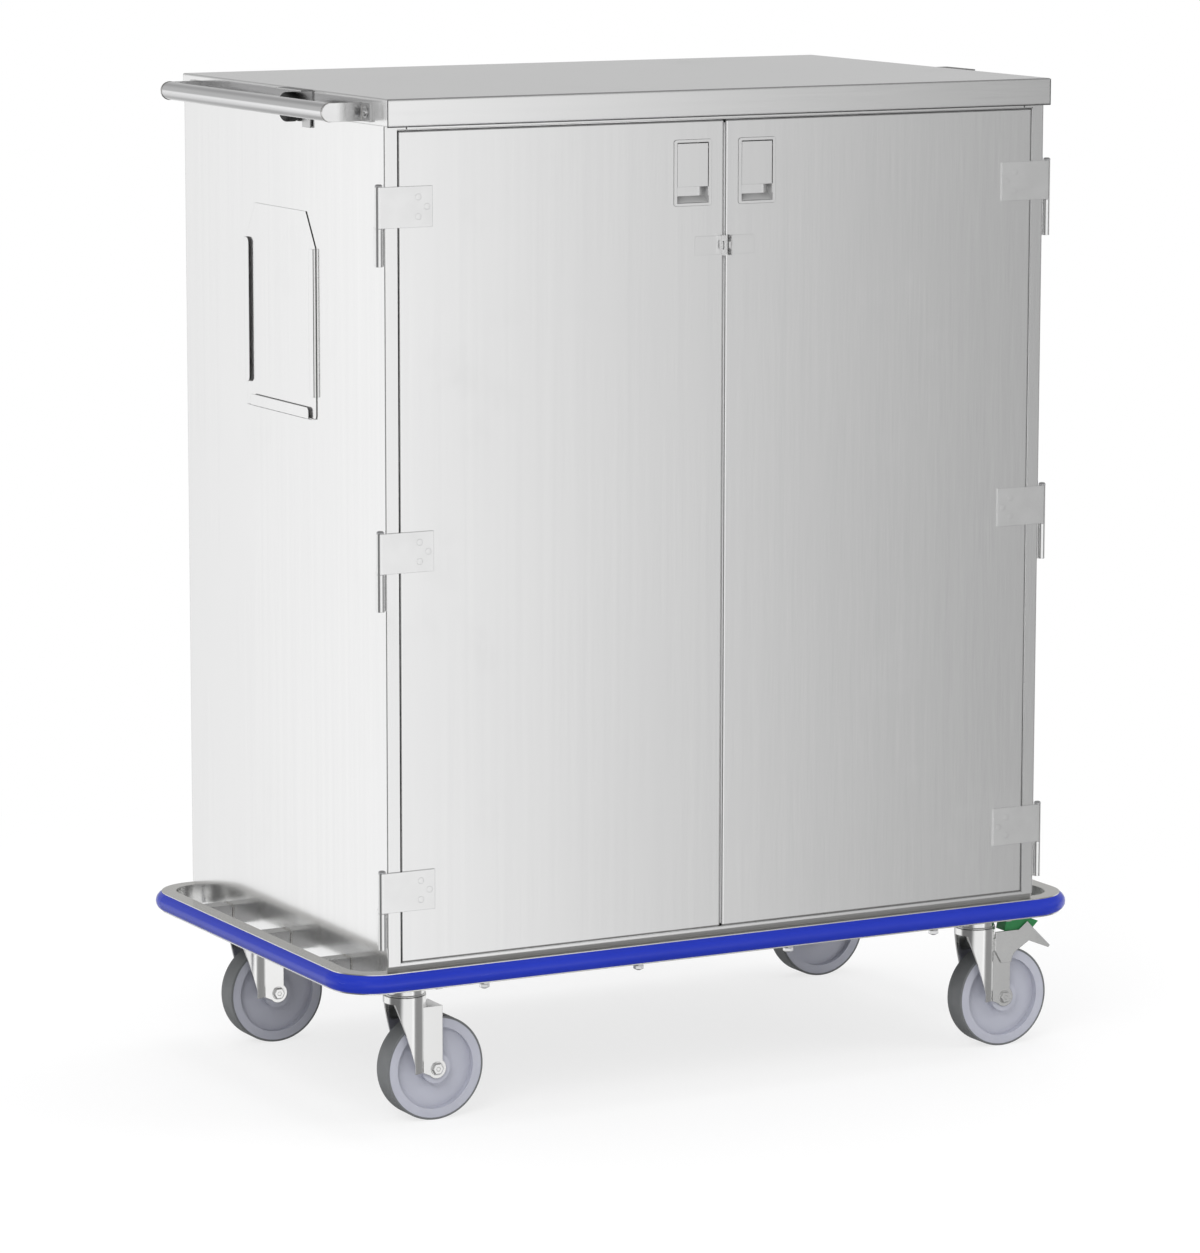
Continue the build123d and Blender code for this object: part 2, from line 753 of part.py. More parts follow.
def make_door_skin(side):
    with BuildPart() as skin:
        block(door_inner, door_outer, door_face, door_back, door_bottom, door_top)
        front = skin.faces().sort_by(Axis.Y)[0]
        fillet(front.edges() + skin.edges().filter_by(Axis.Y), radius=bend_radius)
        block(door_inner + sheet, door_outer - sheet, door_face + sheet, door_back,
              door_bottom + sheet, door_top - sheet, mode=Mode.SUBTRACT)
        with BuildSketch(facing(door_face + sheet, latch_centre, latch_z)):
            Rectangle(cup_width + 2 * bolt_clearance + 2 * bezel_sheet,
                      cup_height + 2 * bolt_clearance + 2 * bezel_sheet)
        extrude(amount=sheet, mode=Mode.SUBTRACT)
        with BuildSketch(level(door_top - sheet, latch_centre, bolt_y)):
            Rectangle(bolt_width + 2 * bolt_clearance, bolt_thickness + 2 * bolt_clearance)
        extrude(amount=sheet, mode=Mode.SUBTRACT)
        mirror_if_left(side)
    return skin


def make_door_liner(side):
    low_x = door_inner + sheet
    high_x = door_outer - sheet
    low_z = door_bottom + sheet
    high_z = door_top - sheet
    with BuildPart() as liner:
        block(low_x, high_x, door_back - liner_flange, door_back, low_z, high_z)
        block(low_x + liner_sheet, high_x - liner_sheet, door_back - liner_flange,
              door_back - liner_sheet, low_z + liner_sheet, high_z - liner_sheet,
              mode=Mode.SUBTRACT)
        with BuildSketch(level(high_z - liner_sheet, latch_centre, bolt_y)):
            Rectangle(bolt_width + 2 * bolt_clearance, bolt_thickness + 2 * bolt_clearance)
        extrude(amount=liner_sheet, mode=Mode.SUBTRACT)
        mirror_if_left(side)
    return liner


# Latch cup: a bezel on the door's face with a pocket behind it, whose floor slopes up inwards
paddle_pin_z = latch_top - paddle_pin_drop
paddle_pin_y = door_face + paddle_pin_setback


def make_latch_cup(side):
    with BuildPart() as cup:
        with BuildSketch(facing(door_face, latch_centre, latch_z)):
            RectangleRounded(bezel_width, bezel_height, bezel_corner)
        extrude(amount=bezel_sheet)
        with BuildSketch(facing(door_face + cup_depth + bezel_sheet, latch_centre, latch_z)):
            Rectangle(cup_width + 2 * bezel_sheet, cup_height + 2 * bezel_sheet)
        extrude(amount=cup_depth + bezel_sheet)
        with BuildSketch(sideways(latch_centre - cup_width / 2)):
            with BuildLine():
                Polyline((door_face - bezel_sheet, latch_top), (door_face - bezel_sheet, latch_low),
                         (door_face, latch_low), (door_face + cup_depth, latch_low + cup_ramp),
                         (door_face + cup_depth, latch_top), (door_face - bezel_sheet, latch_top))
            make_face()
        extrude(amount=cup_width, mode=Mode.SUBTRACT)
        with BuildSketch(sideways(latch_centre - cup_width / 2, paddle_pin_y, paddle_pin_z)):
            Circle(paddle_pin / 2)
        extrude(amount=cup_width)
        mirror_if_left(side)
    return cup


# Latch paddle: a bent plate that hangs on the cup's pin and swings out from its lower edge
def make_latch_paddle(side):
    paddle_half = cup_width / 2 - paddle_clearance
    paddle_top = latch_top - paddle_gap
    paddle_low = latch_top - paddle_height
    face = door_face - bezel_sheet / 2
    with BuildPart() as paddle:
        block(latch_centre - paddle_half, latch_centre + paddle_half, face, face + paddle_sheet,
              paddle_low, paddle_top)
        block(latch_centre - paddle_half, latch_centre + paddle_half, face, face + paddle_skirt,
              paddle_low, paddle_low + paddle_sheet)
        for end in (-1, 1):
            edge = latch_centre + end * paddle_half
            block(edge, edge - end * paddle_sheet, face, paddle_pin_y + paddle_pin,
                  paddle_pin_z - paddle_pin, paddle_top)
        with BuildSketch(sideways(latch_centre - paddle_half, paddle_pin_y, paddle_pin_z)):
            Circle(paddle_pin / 2 + pin_clearance)
        extrude(amount=2 * paddle_half, mode=Mode.SUBTRACT)
        mirror_if_left(side)
    return paddle


# Latch bolt: a flat bar that the paddle draws down, out of the door's top edge
def make_latch_bolt(side):
    with BuildPart() as bolt:
        with BuildSketch(level(bolt_top, latch_centre, bolt_y)):
            Rectangle(bolt_width, bolt_thickness)
        extrude(amount=-bolt_length)
        tip = bolt.faces().sort_by(Axis.Z)[-1].edges().sort_by(Axis.Y)[-1]
        chamfer(tip, length=bolt_thickness / 3)
        mirror_if_left(side)
    return bolt


# Seal hasp: a plate on the door's face whose slotted ear stands forward at the seam
def make_seal_hasp(side):
    near = door_inner + ear_inset
    middle = top_z - hasp_drop
    with BuildPart() as hasp:
        block(near, near + hasp_length, door_face - hasp_sheet, door_face,
              middle - hasp_height / 2, middle + hasp_height / 2)
        block(near, near + hasp_sheet, door_face - ear_reach, door_face,
              middle - ear_height / 2, middle + ear_height / 2)
        with BuildSketch(sideways(near, door_face - ear_reach / 2 - hasp_sheet / 2, middle)):
            SlotOverall(slot_height, slot_width, rotation=90)
        extrude(amount=hasp_sheet, mode=Mode.SUBTRACT)
        mirror_if_left(side)
    return hasp


door_pieces = (
    ("door_skin", make_door_skin),
    ("door_liner", make_door_liner),
    ("door_hinges", make_door_leaves),
    ("hinge_screws", make_screws),
    ("latch_cup", make_latch_cup),
    ("latch_paddle", make_latch_paddle),
    ("latch_bolt", make_latch_bolt),
    ("seal_hasp", make_seal_hasp),
)
for side, word in sides:
    for name, make in door_pieces:
        piece = make(side)
        finish(piece, f"{name}_{word}")

# Caster plates: a plate bolted up to its pad, with the race housing under it
casters = (
    ("front_left", -caster_x, -caster_y),
    ("front_right", caster_x, -caster_y),
    ("rear_left", -caster_x, caster_y),
    ("rear_right", caster_x, caster_y),
)
plate_bottom = base_bottom - plate_thickness
race_bottom = plate_bottom - race_height
fork_top = race_bottom - fork_gap
with BuildPart() as caster_plates:
    for name, x, y in casters:
        with BuildSketch(level(plate_bottom, x, y)):
            RectangleRounded(plate_length, plate_width, plate_corner)
            with Locations(*plate_holes):
                Circle(bolt_shank / 2 + pin_clearance, mode=Mode.SUBTRACT)
        extrude(amount=plate_thickness)
        with BuildSketch(level(plate_bottom, x, y)):
            Circle(race_diameter / 2)
        extrude(amount=-race_height)
finish(caster_plates, "caster_plates")

kingpin_low = fork_top - fork_sheet - fork_gap
with BuildPart() as kingpins:
    for name, x, y in casters:
        with BuildSketch(level(race_bottom, x, y)):
            Circle(kingpin_diameter / 2)
        extrude(amount=kingpin_low - race_bottom)
        with BuildSketch(level(kingpin_low, x, y)):
            RegularPolygon(kingpin_nut / 2, 6, major_radius=False)
        extrude(amount=-hex_height)
finish(kingpins, "kingpins")


# Caster fork: a round head whose wall runs down on both sides as a slanted web, into two
# flat legs under a shoulder plate
leg_inner = leg_spread / 2
leg_outer = leg_inner + fork_sheet
head_radius = head_diameter / 2
leg_top = fork_top - leg_drop
collar = fork_top - collar_height
lever_x = caster_x + caster_trail - lever_setback
lever_z = fork_top - leg_drop - lever_setback
lever_y = -caster_y - leg_outer - lever_gap


def make_fork(x, y):
    far = 2 * wheel_diameter
    with BuildPart() as fork:
        rod(x, y, web_low, fork_top, head_radius)
        rod(x, y, web_low, fork_top - fork_sheet, head_radius - fork_sheet, mode=Mode.SUBTRACT)
        # seen from the side: nothing of the wall is left behind the slanted edge, or in front
        # of the legs' rear edge
        with BuildSketch(facing(y + wheel_diameter / 2, x)):
            with BuildLine():
                Polyline((-far, 0), (-far, collar), (-web_reach, collar),
                         (web_lead, web_slope_low), (web_lead, 0), (-far, 0))
            make_face()
            area(leg_lead, far, 0, leg_top)
        extrude(amount=wheel_diameter, mode=Mode.SUBTRACT)
        # the legs, each with a round end at the axle
        with BuildSketch(facing(y + leg_outer, x)):
            with BuildLine():
                Polyline((leg_lead - fork_sheet / 2, leg_top), (leg_lead - fork_sheet / 2, web_low),
                         (caster_trail, wheel_radius - leg_end_radius),
                         (caster_trail, wheel_radius), (leg_front, wheel_radius),
                         (leg_front, leg_top), (leg_lead - fork_sheet / 2, leg_top))
            make_face()
            with Locations((caster_trail, wheel_radius)):
                Circle(leg_end_radius)
        extrude(amount=2 * leg_outer)
        block(x, x + far, y - leg_inner, y + leg_inner, 0, leg_top - fork_sheet, mode=Mode.SUBTRACT)
        rod(x, y, fork_top - fork_sheet, fork_top, kingpin_diameter / 2 + axle_clearance,
            mode=Mode.SUBTRACT)
        with BuildSketch(facing(y + wheel_diameter / 2, x + caster_trail, wheel_radius)):
            Circle(axle_diameter / 2)
        extrude(amount=wheel_diameter, mode=Mode.SUBTRACT)
        if x > 0 and y < 0:
            with BuildSketch(facing(y, lever_x, lever_z)):
                Circle(lever_pin / 2 + pin_clearance)
            extrude(amount=wheel_diameter / 2, mode=Mode.SUBTRACT)
    return fork


# Wheel: a moulded core with hub, web and rim, and a tread round it
def make_wheel_core(x, y):
    rim_radius = wheel_radius - tread_thickness
    with BuildPart() as core:
        with BuildSketch(level(wheel_radius, x + caster_trail, y)):
            bore = axle_diameter / 2 + axle_clearance
            hub_half = leg_inner - fork_gap
            rim_half = wheel_width / 2 - fork_gap
            area(bore, hub_diameter / 2, -hub_half, hub_half)
            area(bore, rim_radius, -web_thickness / 2, web_thickness / 2)
            area(rim_inner_diameter / 2, rim_radius, -rim_half, rim_half)
        revolve(axis=Axis((x + caster_trail, y, wheel_radius), (0, 1, 0)))
    return core


def make_wheel_tread(x, y):
    rim_radius = wheel_radius - tread_thickness
    with BuildPart() as tread:
        with BuildSketch(level(wheel_radius, x + caster_trail, y)) as section:
            area(rim_radius, wheel_radius, -wheel_width / 2, wheel_width / 2)
            fillet(section.vertices().group_by(Axis.X)[-1], radius=tread_thickness / 2)
        revolve(axis=Axis((x + caster_trail, y, wheel_radius), (0, 1, 0)))
    return tread


# Axle: a bolt with a round head in front and a nut behind
def make_axle(x, y):
    with BuildPart() as axle:
        with BuildSketch(facing(y - leg_outer, x + caster_trail, wheel_radius)):
            Circle(axle_head / 2)
        extrude(amount=hex_height - bezel_sheet)
        fillet(axle.faces().sort_by(Axis.Y)[0].edges(), radius=bezel_sheet)
        with BuildSketch(facing(y - leg_outer - hex_height / 2, x + caster_trail, wheel_radius)):
            RegularPolygon(axle_diameter / 3, 6, major_radius=False)
        extrude(amount=hex_height, mode=Mode.SUBTRACT)
        with BuildSketch(facing(y - leg_outer, x + caster_trail, wheel_radius)):
            Circle(axle_diameter / 2)
        extrude(amount=-2 * leg_outer)
        with BuildSketch(facing(y + leg_outer, x + caster_trail, wheel_radius)):
            RegularPolygon(axle_head / 2, 6, major_radius=False)
        extrude(amount=-hex_height)
    return axle


caster_pieces = (
    ("fork", make_fork),
    ("wheel", make_wheel_core),
    ("tread", make_wheel_tread),
    ("axle", make_axle),
)
for place, x, y in casters:
    for name, make in caster_pieces:
        piece = make(x, y)
        finish(piece, f"{name}_{place}")

# Foot lever of the direction lock: a plate on a pin through the fork's front leg
tab_top = lever_head + tab_height
with BuildPart() as lock_lever:
    with BuildSketch(facing(lever_y, lever_x, lever_z)):
        with BuildLine():
            Polyline((lever_arm, 0), (lever_reach - lever_sheet, -lever_fall - lever_sheet),
                     (lever_reach, -lever_fall), (lever_reach - lever_foot, lever_head),
                     (lever_arm - lever_sheet, tab_top - lever_sheet), (lever_foot, lever_head),
                     (-lever_back, lever_head), (-lever_back, -lever_back), (0, -lever_foot),
                     (leg_front - caster_trail + lever_setback, -lever_foot))
            TangentArc((leg_front - caster_trail + lever_setback, -lever_foot),
                       (lever_foot, -lever_back), tangent=(0, 1))
            Line((lever_foot, -lever_back), (lever_arm, 0))
        make_face()
    extrude(amount=lever_sheet)
    with BuildSketch(facing(lever_y, lever_x, lever_z)):
        Circle(lever_pin / 2)
    extrude(amount=-(lever_gap + fork_sheet))
finish(lock_lever, "lock_lever")

# Green tab that the foot presses, moulded on the lever's top edge
with BuildPart() as lock_tab:
    with BuildSketch(facing(lever_y, lever_x, lever_z)):
        with BuildLine():
            Polyline((tab_start, lever_head), (tab_start + lever_sheet, tab_top),
                     (tab_reach - lever_arm / 4, tab_top), (tab_reach, tab_top - tab_height / 3),
                     (lever_reach - lever_foot, lever_head), (tab_start, lever_head))
        make_face()
    extrude(amount=-tab_width)
finish(lock_tab, "lock_tab")
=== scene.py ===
import math

import bmesh
import bpy
from mathutils import Matrix, Vector


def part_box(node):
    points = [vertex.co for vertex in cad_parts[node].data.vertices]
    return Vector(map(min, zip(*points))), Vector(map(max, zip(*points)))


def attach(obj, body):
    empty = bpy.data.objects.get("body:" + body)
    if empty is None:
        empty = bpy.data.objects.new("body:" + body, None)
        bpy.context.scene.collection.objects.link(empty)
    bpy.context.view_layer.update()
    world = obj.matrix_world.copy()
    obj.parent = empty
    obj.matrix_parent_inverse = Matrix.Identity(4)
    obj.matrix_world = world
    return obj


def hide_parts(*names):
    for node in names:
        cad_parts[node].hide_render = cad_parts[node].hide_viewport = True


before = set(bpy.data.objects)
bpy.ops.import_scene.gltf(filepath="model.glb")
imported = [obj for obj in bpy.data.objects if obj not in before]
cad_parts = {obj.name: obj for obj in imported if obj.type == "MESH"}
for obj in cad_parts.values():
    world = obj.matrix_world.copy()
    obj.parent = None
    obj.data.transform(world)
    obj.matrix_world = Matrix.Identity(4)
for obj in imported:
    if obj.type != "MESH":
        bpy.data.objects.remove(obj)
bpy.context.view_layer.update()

scene = bpy.context.scene
scene.view_settings.view_transform = "Standard"


# Shader graphs, written as expressions

class Socket:
    # one output socket, with arithmetic that adds Math nodes

    def __init__(self, graph, link):
        self.graph = graph
        self.link = link

    def math(self, operation, *others, clamp=False):
        values = [self, *others]
        return self.graph.add("ShaderNodeMath", {"operation": operation, "use_clamp": clamp},
                              dict(enumerate(values)))

    def __add__(self, other):
        return self.math("ADD", other)

    __radd__ = __add__

    def __sub__(self, other):
        return self.math("SUBTRACT", other)

    def __rsub__(self, other):
        return self.graph.add("ShaderNodeMath", {"operation": "SUBTRACT"}, {0: other, 1: self})

    def __mul__(self, other):
        return self.math("MULTIPLY", other)

    __rmul__ = __mul__

    def __truediv__(self, other):
        return self.math("DIVIDE", other)

    def __gt__(self, other):
        return self.math("GREATER_THAN", other)

    def __lt__(self, other):
        return self.math("LESS_THAN", other)

    def clamped(self):
        return self.math("ADD", 0.0, clamp=True)


class Graph:
    # the node tree of one material or of the world

    def __init__(self, owner):
        owner.use_nodes = True
        self.tree = owner.node_tree
        self.tree.nodes.clear()

    def add(self, kind, settings=None, inputs=None, output=0):
        node = self.tree.nodes.new(kind)
        for name, value in (settings or {}).items():
            if name == "stops":
                ramp = node.color_ramp
                while len(ramp.elements) < len(value):
                    ramp.elements.new(0.5)
                for element, (place, colour) in zip(ramp.elements, value):
                    element.position = place
                    element.color = (*colour, 1.0)
            else:
                setattr(node, name, value)
        for name, value in (inputs or {}).items():
            if isinstance(value, Socket):
                self.tree.links.new(value.link, node.inputs[name])
            elif value is not None:
                target = node.inputs[name]
                if hasattr(value, "__len__") and len(value) == 3 and target.type == "RGBA":
                    value = (*value, 1.0)
                target.default_value = value
        if len(node.outputs):
            return Socket(self, node.outputs[output])

    def place(self, kind="Object"):
        return self.add("ShaderNodeTexCoord", output=kind)

    def scaled(self, vector, factors):
        return self.add("ShaderNodeVectorMath", {"operation": "MULTIPLY"}, {0: vector, 1: factors})

    def part(self, vector, axis):
        return self.add("ShaderNodeSeparateXYZ", {}, {0: vector}, output="XYZ".index(axis))

    def noise(self, vector, scale, detail=3.0, roughness=0.5):
        return self.add("ShaderNodeTexNoise", {}, {"Vector": vector, "Scale": scale,
                        "Detail": detail, "Roughness": roughness})

    def spread(self, value, low, high):
        # 0 at low and 1 at high, with a smooth run between
        return self.add("ShaderNodeMapRange", {"interpolation_type": "SMOOTHSTEP"},
                        {"Value": value, "From Min": low, "From Max": high})

    def blend(self, factor, first, second):
        return self.add("ShaderNodeMix", {"data_type": "RGBA"}, {0: factor, 6: first, 7: second},
                        output=2)

    def bump(self, height, distance, strength, normal=None):
        return self.add("ShaderNodeBump", {}, {"Height": height, "Distance": distance,
                        "Strength": strength, "Normal": normal})

    def rounded(self, radius):
        # the look of a small edge radius
        return self.add("ShaderNodeBevel", {"samples": 4}, {"Radius": radius})

    def turnedTo(self, axis):
        # 1 on the faces that look along an axis, either way, and 0 elsewhere
        facing = self.part(self.place("Normal"), axis)
        return facing * facing > 0.5

    def surface(self, inputs):
        shader = self.add("ShaderNodeBsdfPrincipled", {}, inputs)
        self.add("ShaderNodeOutputMaterial", {}, {"Surface": shader})


def newMaterial(name):
    material = bpy.data.materials.new(name)
    return material, Graph(material)


# Finishes

def brushedStainless(name, look):
    # long fine streaks along one axis, a cloudy polish and a few faint handling marks
    material, graph = newMaterial(name)
    place = graph.place()
    grain = graph.scaled(place, [look["along"] if axis == look["grain"] else 1.0 for axis in "XYZ"])
    streaks = graph.noise(grain, look["fineness"], detail=4.0, roughness=0.6)
    broad = graph.noise(grain, look["broad"], detail=2.0)
    cloud = graph.noise(place, look["cloud"], roughness=0.55)
    smear = graph.spread(graph.noise(place, look["smear"], detail=4.0, roughness=0.65), *look["smeared"])
    tone = (streaks - 0.5) * look["streakTone"] + (broad - 0.5) * look["broadTone"]
    shade = (tone + (cloud - 0.5) * look["cloudTone"] + 0.5).clamped()
    colour = graph.blend(shade, look["dark"], look["light"])
    if "endShade" in look:
        # faces turned to the front and back get a dark colour, painted shade, and on the guides in front it
        # is broken by stripes across X of painted highlight
        fold = (graph.part(place, "X") - look["stripeFrom"]) * (2 * math.pi / look["stripePitch"])
        light = graph.spread(fold.math("COSINE"), *look["folded"]) * (0 > graph.part(place, "Y"))
        ends = graph.blend(light, look["endShade"], look["light"])
        colour = graph.blend(graph.turnedTo("Y"), colour, ends)
    metal = 1.0
    if "lining" in look:
        # the hidden side of the guides' bent lips is pale and matt
        hidden = graph.part(graph.place("Normal"), "X") > 0.5
        colour = graph.blend(hidden, colour, look["lining"])
        metal = 1.0 - hidden
    roughness = (streaks - 0.5) * look["streakRough"] + smear * look["smearRough"] + look["rough"]
    normal = graph.bump(streaks, look["depth"], strength=0.35, normal=graph.rounded(look["edge"]))
    graph.surface({"Base Color": colour, "Metallic": metal, "Roughness": roughness, "Normal": normal})
    return material


# How many times broader the patches are than the mottle, and what each gives to tone and roughness
satinMix = {"broader": 14, "mottleTone": 0.6, "patchTone": 0.4, "mottleRough": 0.08, "patchRough": 0.10}


def satinSteel(name, look):
    # stamped or bent steel with a soft even sheen, mottled and a little duller in patches
    material, graph = newMaterial(name)
    place = graph.place()
    mottle = graph.noise(place, look["mottle"], detail=5.0, roughness=0.6)
    patches = graph.noise(place, look["mottle"] / satinMix["broader"])
    shade = mottle * satinMix["mottleTone"] + patches * satinMix["patchTone"]
    colour = graph.blend(shade, look["dark"], look["light"])
    # faces turned along an axis can take their own colour, painted shade or light by how they face
    for axis, tone in look.get("turned", {}).items():
        colour = graph.blend(graph.turnedTo(axis), colour, tone)
    # painted shade: the colour darkens along X towards the given tone
    if "fade" in look:
        start, end, tone = look["fade"]
        colour = graph.blend(graph.spread(graph.part(place, "X"), start, end), colour, tone)
    roughness = ((mottle - 0.5) * satinMix["mottleRough"] + (patches - 0.5) * satinMix["patchRough"]
                 + look["rough"])
    normal = graph.bump(mottle, look["depth"], strength=0.25, normal=graph.rounded(look["edge"]))
    graph.surface({"Base Color": colour, "Metallic": 1.0, "Roughness": roughness, "Normal": normal})
    return material


# Where the scuffs begin and are full, and what the skin and the scuffs give to the roughness
plasticMix = {"scuffed": (0.60, 0.74), "skinRough": 0.12, "scuffRough": 0.15, "gloss": 0.5}


def mouldedPlastic(name, look):
    # moulded or extruded plastic and rubber: fine skin texture, faint scuffs that dull it
    material, graph = newMaterial(name)
    place = graph.place()
    skin = graph.noise(place, look["skin"], roughness=0.6)
    cloud = graph.noise(place, look["cloud"])
    marks = graph.noise(graph.scaled(place, look["scuffAlong"]), look["scuff"], detail=6.0, roughness=0.7)
    scuff = graph.spread(marks, *plasticMix["scuffed"])
    worn = graph.blend(scuff * look["scuffTone"], graph.blend(cloud, look["dark"], look["light"]),
                       look["worn"])
    roughness = (skin - 0.5) * plasticMix["skinRough"] + scuff * plasticMix["scuffRough"] + look["rough"]
    normal = graph.bump(skin, look["depth"], strength=0.4)
    graph.surface({"Base Color": worn, "Roughness": roughness, "Normal": normal,
                   "Specular IOR Level": look.get("gloss", plasticMix["gloss"])})
    return material


def latchSteel(name, look):
    # the latch's stamped cup: brushed in front; the walls and floor of its pocket get a dark colour,
    # painted shade in the recess, and are rougher and less metallic
    material, graph = newMaterial(name)
    place = graph.place()
    grain = graph.scaled(place, (1.0, 1.0, look["along"]))
    streaks = graph.noise(grain, look["fineness"], detail=4.0, roughness=0.6)
    inside = graph.part(place, "Y") > look["mouth"]
    pocket = inside * (1.0 - graph.turnedTo("Y"))
    # painted shade: the pocket's ramp and walls take a dark colour
    wall = graph.blend(graph.turnedTo("X"), look["ramp"], look["wall"])
    colour = graph.blend(pocket, graph.blend(streaks, look["dark"], look["light"]), wall)
    roughness = streaks * look["streakRough"] + pocket * look["pocketRough"] + look["rough"]
    normal = graph.bump(streaks, look["depth"], strength=0.3, normal=graph.rounded(look["edge"]))
    graph.surface({"Base Color": colour, "Metallic": 1.0 - pocket, "Roughness": roughness,
                   "Normal": normal})
    return material


brushedLook = {
    "grain": "Z", "along": 0.012, "fineness": 900.0, "broad": 100.0, "cloud": 2.3, "smear": 7.13,
    "smeared": (0.56, 0.78), "streakTone": 0.5, "broadTone": 0.30, "cloudTone": 0.30,
    "dark": (0.80, 0.80, 0.805), "light": (0.935, 0.935, 0.93), "streakRough": 0.10, "smearRough": 0.03,
    "rough": 0.16, "depth": 0.00002, "edge": 0.0006,
}
uprightSteel = brushedStainless("Brushed stainless upright", brushedLook)
capSteel = brushedStainless("Brushed stainless cap", {**brushedLook, "grain": "X", "edge": 0.0028})
# card holder: painted shade on its faces turned to the front and back, with stripes of painted highlight on
# those in front
cardSteel = brushedStainless("Brushed stainless card holder", {
    **brushedLook, "endShade": (0.15, 0.15, 0.15), "stripeFrom": -0.5440, "stripePitch": 0.0050,
    "folded": (0.4, -0.3), "lining": (0.92, 0.92, 0.92), "edge": 0.0008,
})
levelSteel = brushedStainless("Brushed stainless level", {**brushedLook, "grain": "X"})
tubeSteel = brushedStainless("Polished tube", {
    **brushedLook, "grain": "Y", "dark": (0.76, 0.76, 0.77), "light": (0.88, 0.88, 0.88), "rough": 0.17,
})
# rail: its top faces are darker and warmer, painted shade
railSteel = satinSteel("Satin rail steel", {
    "mottle": 420.0, "dark": (0.78, 0.78, 0.77), "light": (0.88, 0.88, 0.87), "rough": 0.20,
    "depth": 0.00001, "edge": 0.0010, "turned": {"Z": (0.74, 0.73, 0.70)},
})
# outriggers: their tops and their faces turned to the front and back are darker, painted shade
armSteel = satinSteel("Outrigger steel", {
    "mottle": 420.0, "dark": (0.70, 0.70, 0.70), "light": (0.82, 0.82, 0.82), "rough": 0.26,
    "depth": 0.00002, "edge": 0.0010, "turned": {"Z": (0.58, 0.58, 0.57), "Y": (0.40, 0.40, 0.40)},
})
# hold-back: faces turned to the front and back are darker, painted shade; faces turned up and down are near
# black
holdBackSteel = satinSteel("Hold-back steel", {
    "mottle": 420.0, "dark": (0.58, 0.58, 0.58), "light": (0.70, 0.70, 0.70), "rough": 0.30,
    "depth": 0.00002, "edge": 0.0006, "turned": {"Z": (0.05, 0.05, 0.05), "Y": (0.36, 0.36, 0.36)},
})
stampedSteel = satinSteel("Stamped caster steel", {
    "mottle": 260.0, "dark": (0.82, 0.82, 0.82), "light": (0.90, 0.90, 0.89), "rough": 0.17,
    "depth": 0.00001, "edge": 0.0008,
})
innerSteel = satinSteel("Frame steel", {
    "mottle": 260.0, "dark": (0.44, 0.44, 0.44), "light": (0.60, 0.60, 0.60), "rough": 0.36,
    "depth": 0.00003, "edge": 0.0010,
})
hingeSteel = satinSteel("Hinge steel", {
    "mottle": 500.0, "dark": (0.85, 0.85, 0.85), "light": (0.92, 0.92, 0.92), "rough": 0.20,
    "depth": 0.00001, "edge": 0.0007,
})
# handle arms: painted shade darkens them towards +X, near the cap's side on the left arm; the right arm
# takes the dark tone throughout
handleSteel = satinSteel("Handle arm steel", {
    "mottle": 500.0, "dark": (0.85, 0.85, 0.85), "light": (0.92, 0.92, 0.92), "rough": 0.20,
    "depth": 0.00001, "edge": 0.0007, "fade": (-0.584, -0.560, (0.54, 0.54, 0.54)),
})
haspSteel = satinSteel("Hasp steel", {
    "mottle": 600.0, "dark": (0.82, 0.82, 0.82), "light": (0.90, 0.90, 0.90), "rough": 0.18,
    "depth": 0.00001, "edge": 0.0004,
})
# the cup's pocket is darkened with painted shade
cupSteel = latchSteel("Latch cup steel", {
    "along": 0.02, "fineness": 900.0, "dark": (0.84, 0.84, 0.84), "light": (0.92, 0.92, 0.92),
    "ramp": (0.40, 0.40, 0.40), "wall": (0.40, 0.40, 0.40), "mouth": -0.3362, "rough": 0.15,
    "streakRough": 0.1, "pocketRough": 0.3, "depth": 0.00001, "edge": 0.0006,
})
boltZinc = satinSteel("Bright bolt heads", {
    "mottle": 700.0, "dark": (0.66, 0.66, 0.67), "light": (0.88, 0.88, 0.89), "rough": 0.15,
    "depth": 0.00001, "edge": 0.0006,
})
weldBead = satinSteel("Weld bead", {
    "mottle": 900.0, "dark": (0.50, 0.49, 0.47), "light": (0.80, 0.79, 0.77), "rough": 0.28,
    "depth": 0.00006, "edge": 0.0003,
})
# very dark steel for thin lines: painted shade under the cap's front flange and along the card tray's
# bottom, and the cap's corner seams, partly real seam and partly painted shade
shadeAndSeamSteel = satinSteel("Shade and seam line steel", {
    "mottle": 900.0, "dark": (0.10, 0.10, 0.10), "light": (0.17, 0.17, 0.17), "rough": 0.34,
    "depth": 0.00003, "edge": 0.0003,
})
blueVinyl = mouldedPlastic("Blue bumper vinyl", {
    "skin": 900.0, "cloud": 5.0, "scuff": 9.0, "scuffAlong": (1.0, 1.0, 6.0), "scuffTone": 0.2,
    "dark": (0.009, 0.027, 0.39), "light": (0.016, 0.038, 0.47), "worn": (0.045, 0.075, 0.48),
    "rough": 0.20, "depth": 0.00002, "gloss": 0.42,
})
blackRubber = mouldedPlastic("Black rubber", {
    "skin": 1400.0, "cloud": 30.0, "scuff": 60.0, "scuffAlong": (1.0, 1.0, 1.0), "scuffTone": 0.4,
    "dark": (0.018, 0.018, 0.018), "light": (0.032, 0.032, 0.032), "worn": (0.08, 0.08, 0.08),
    "rough": 0.55, "depth": 0.00004,
})
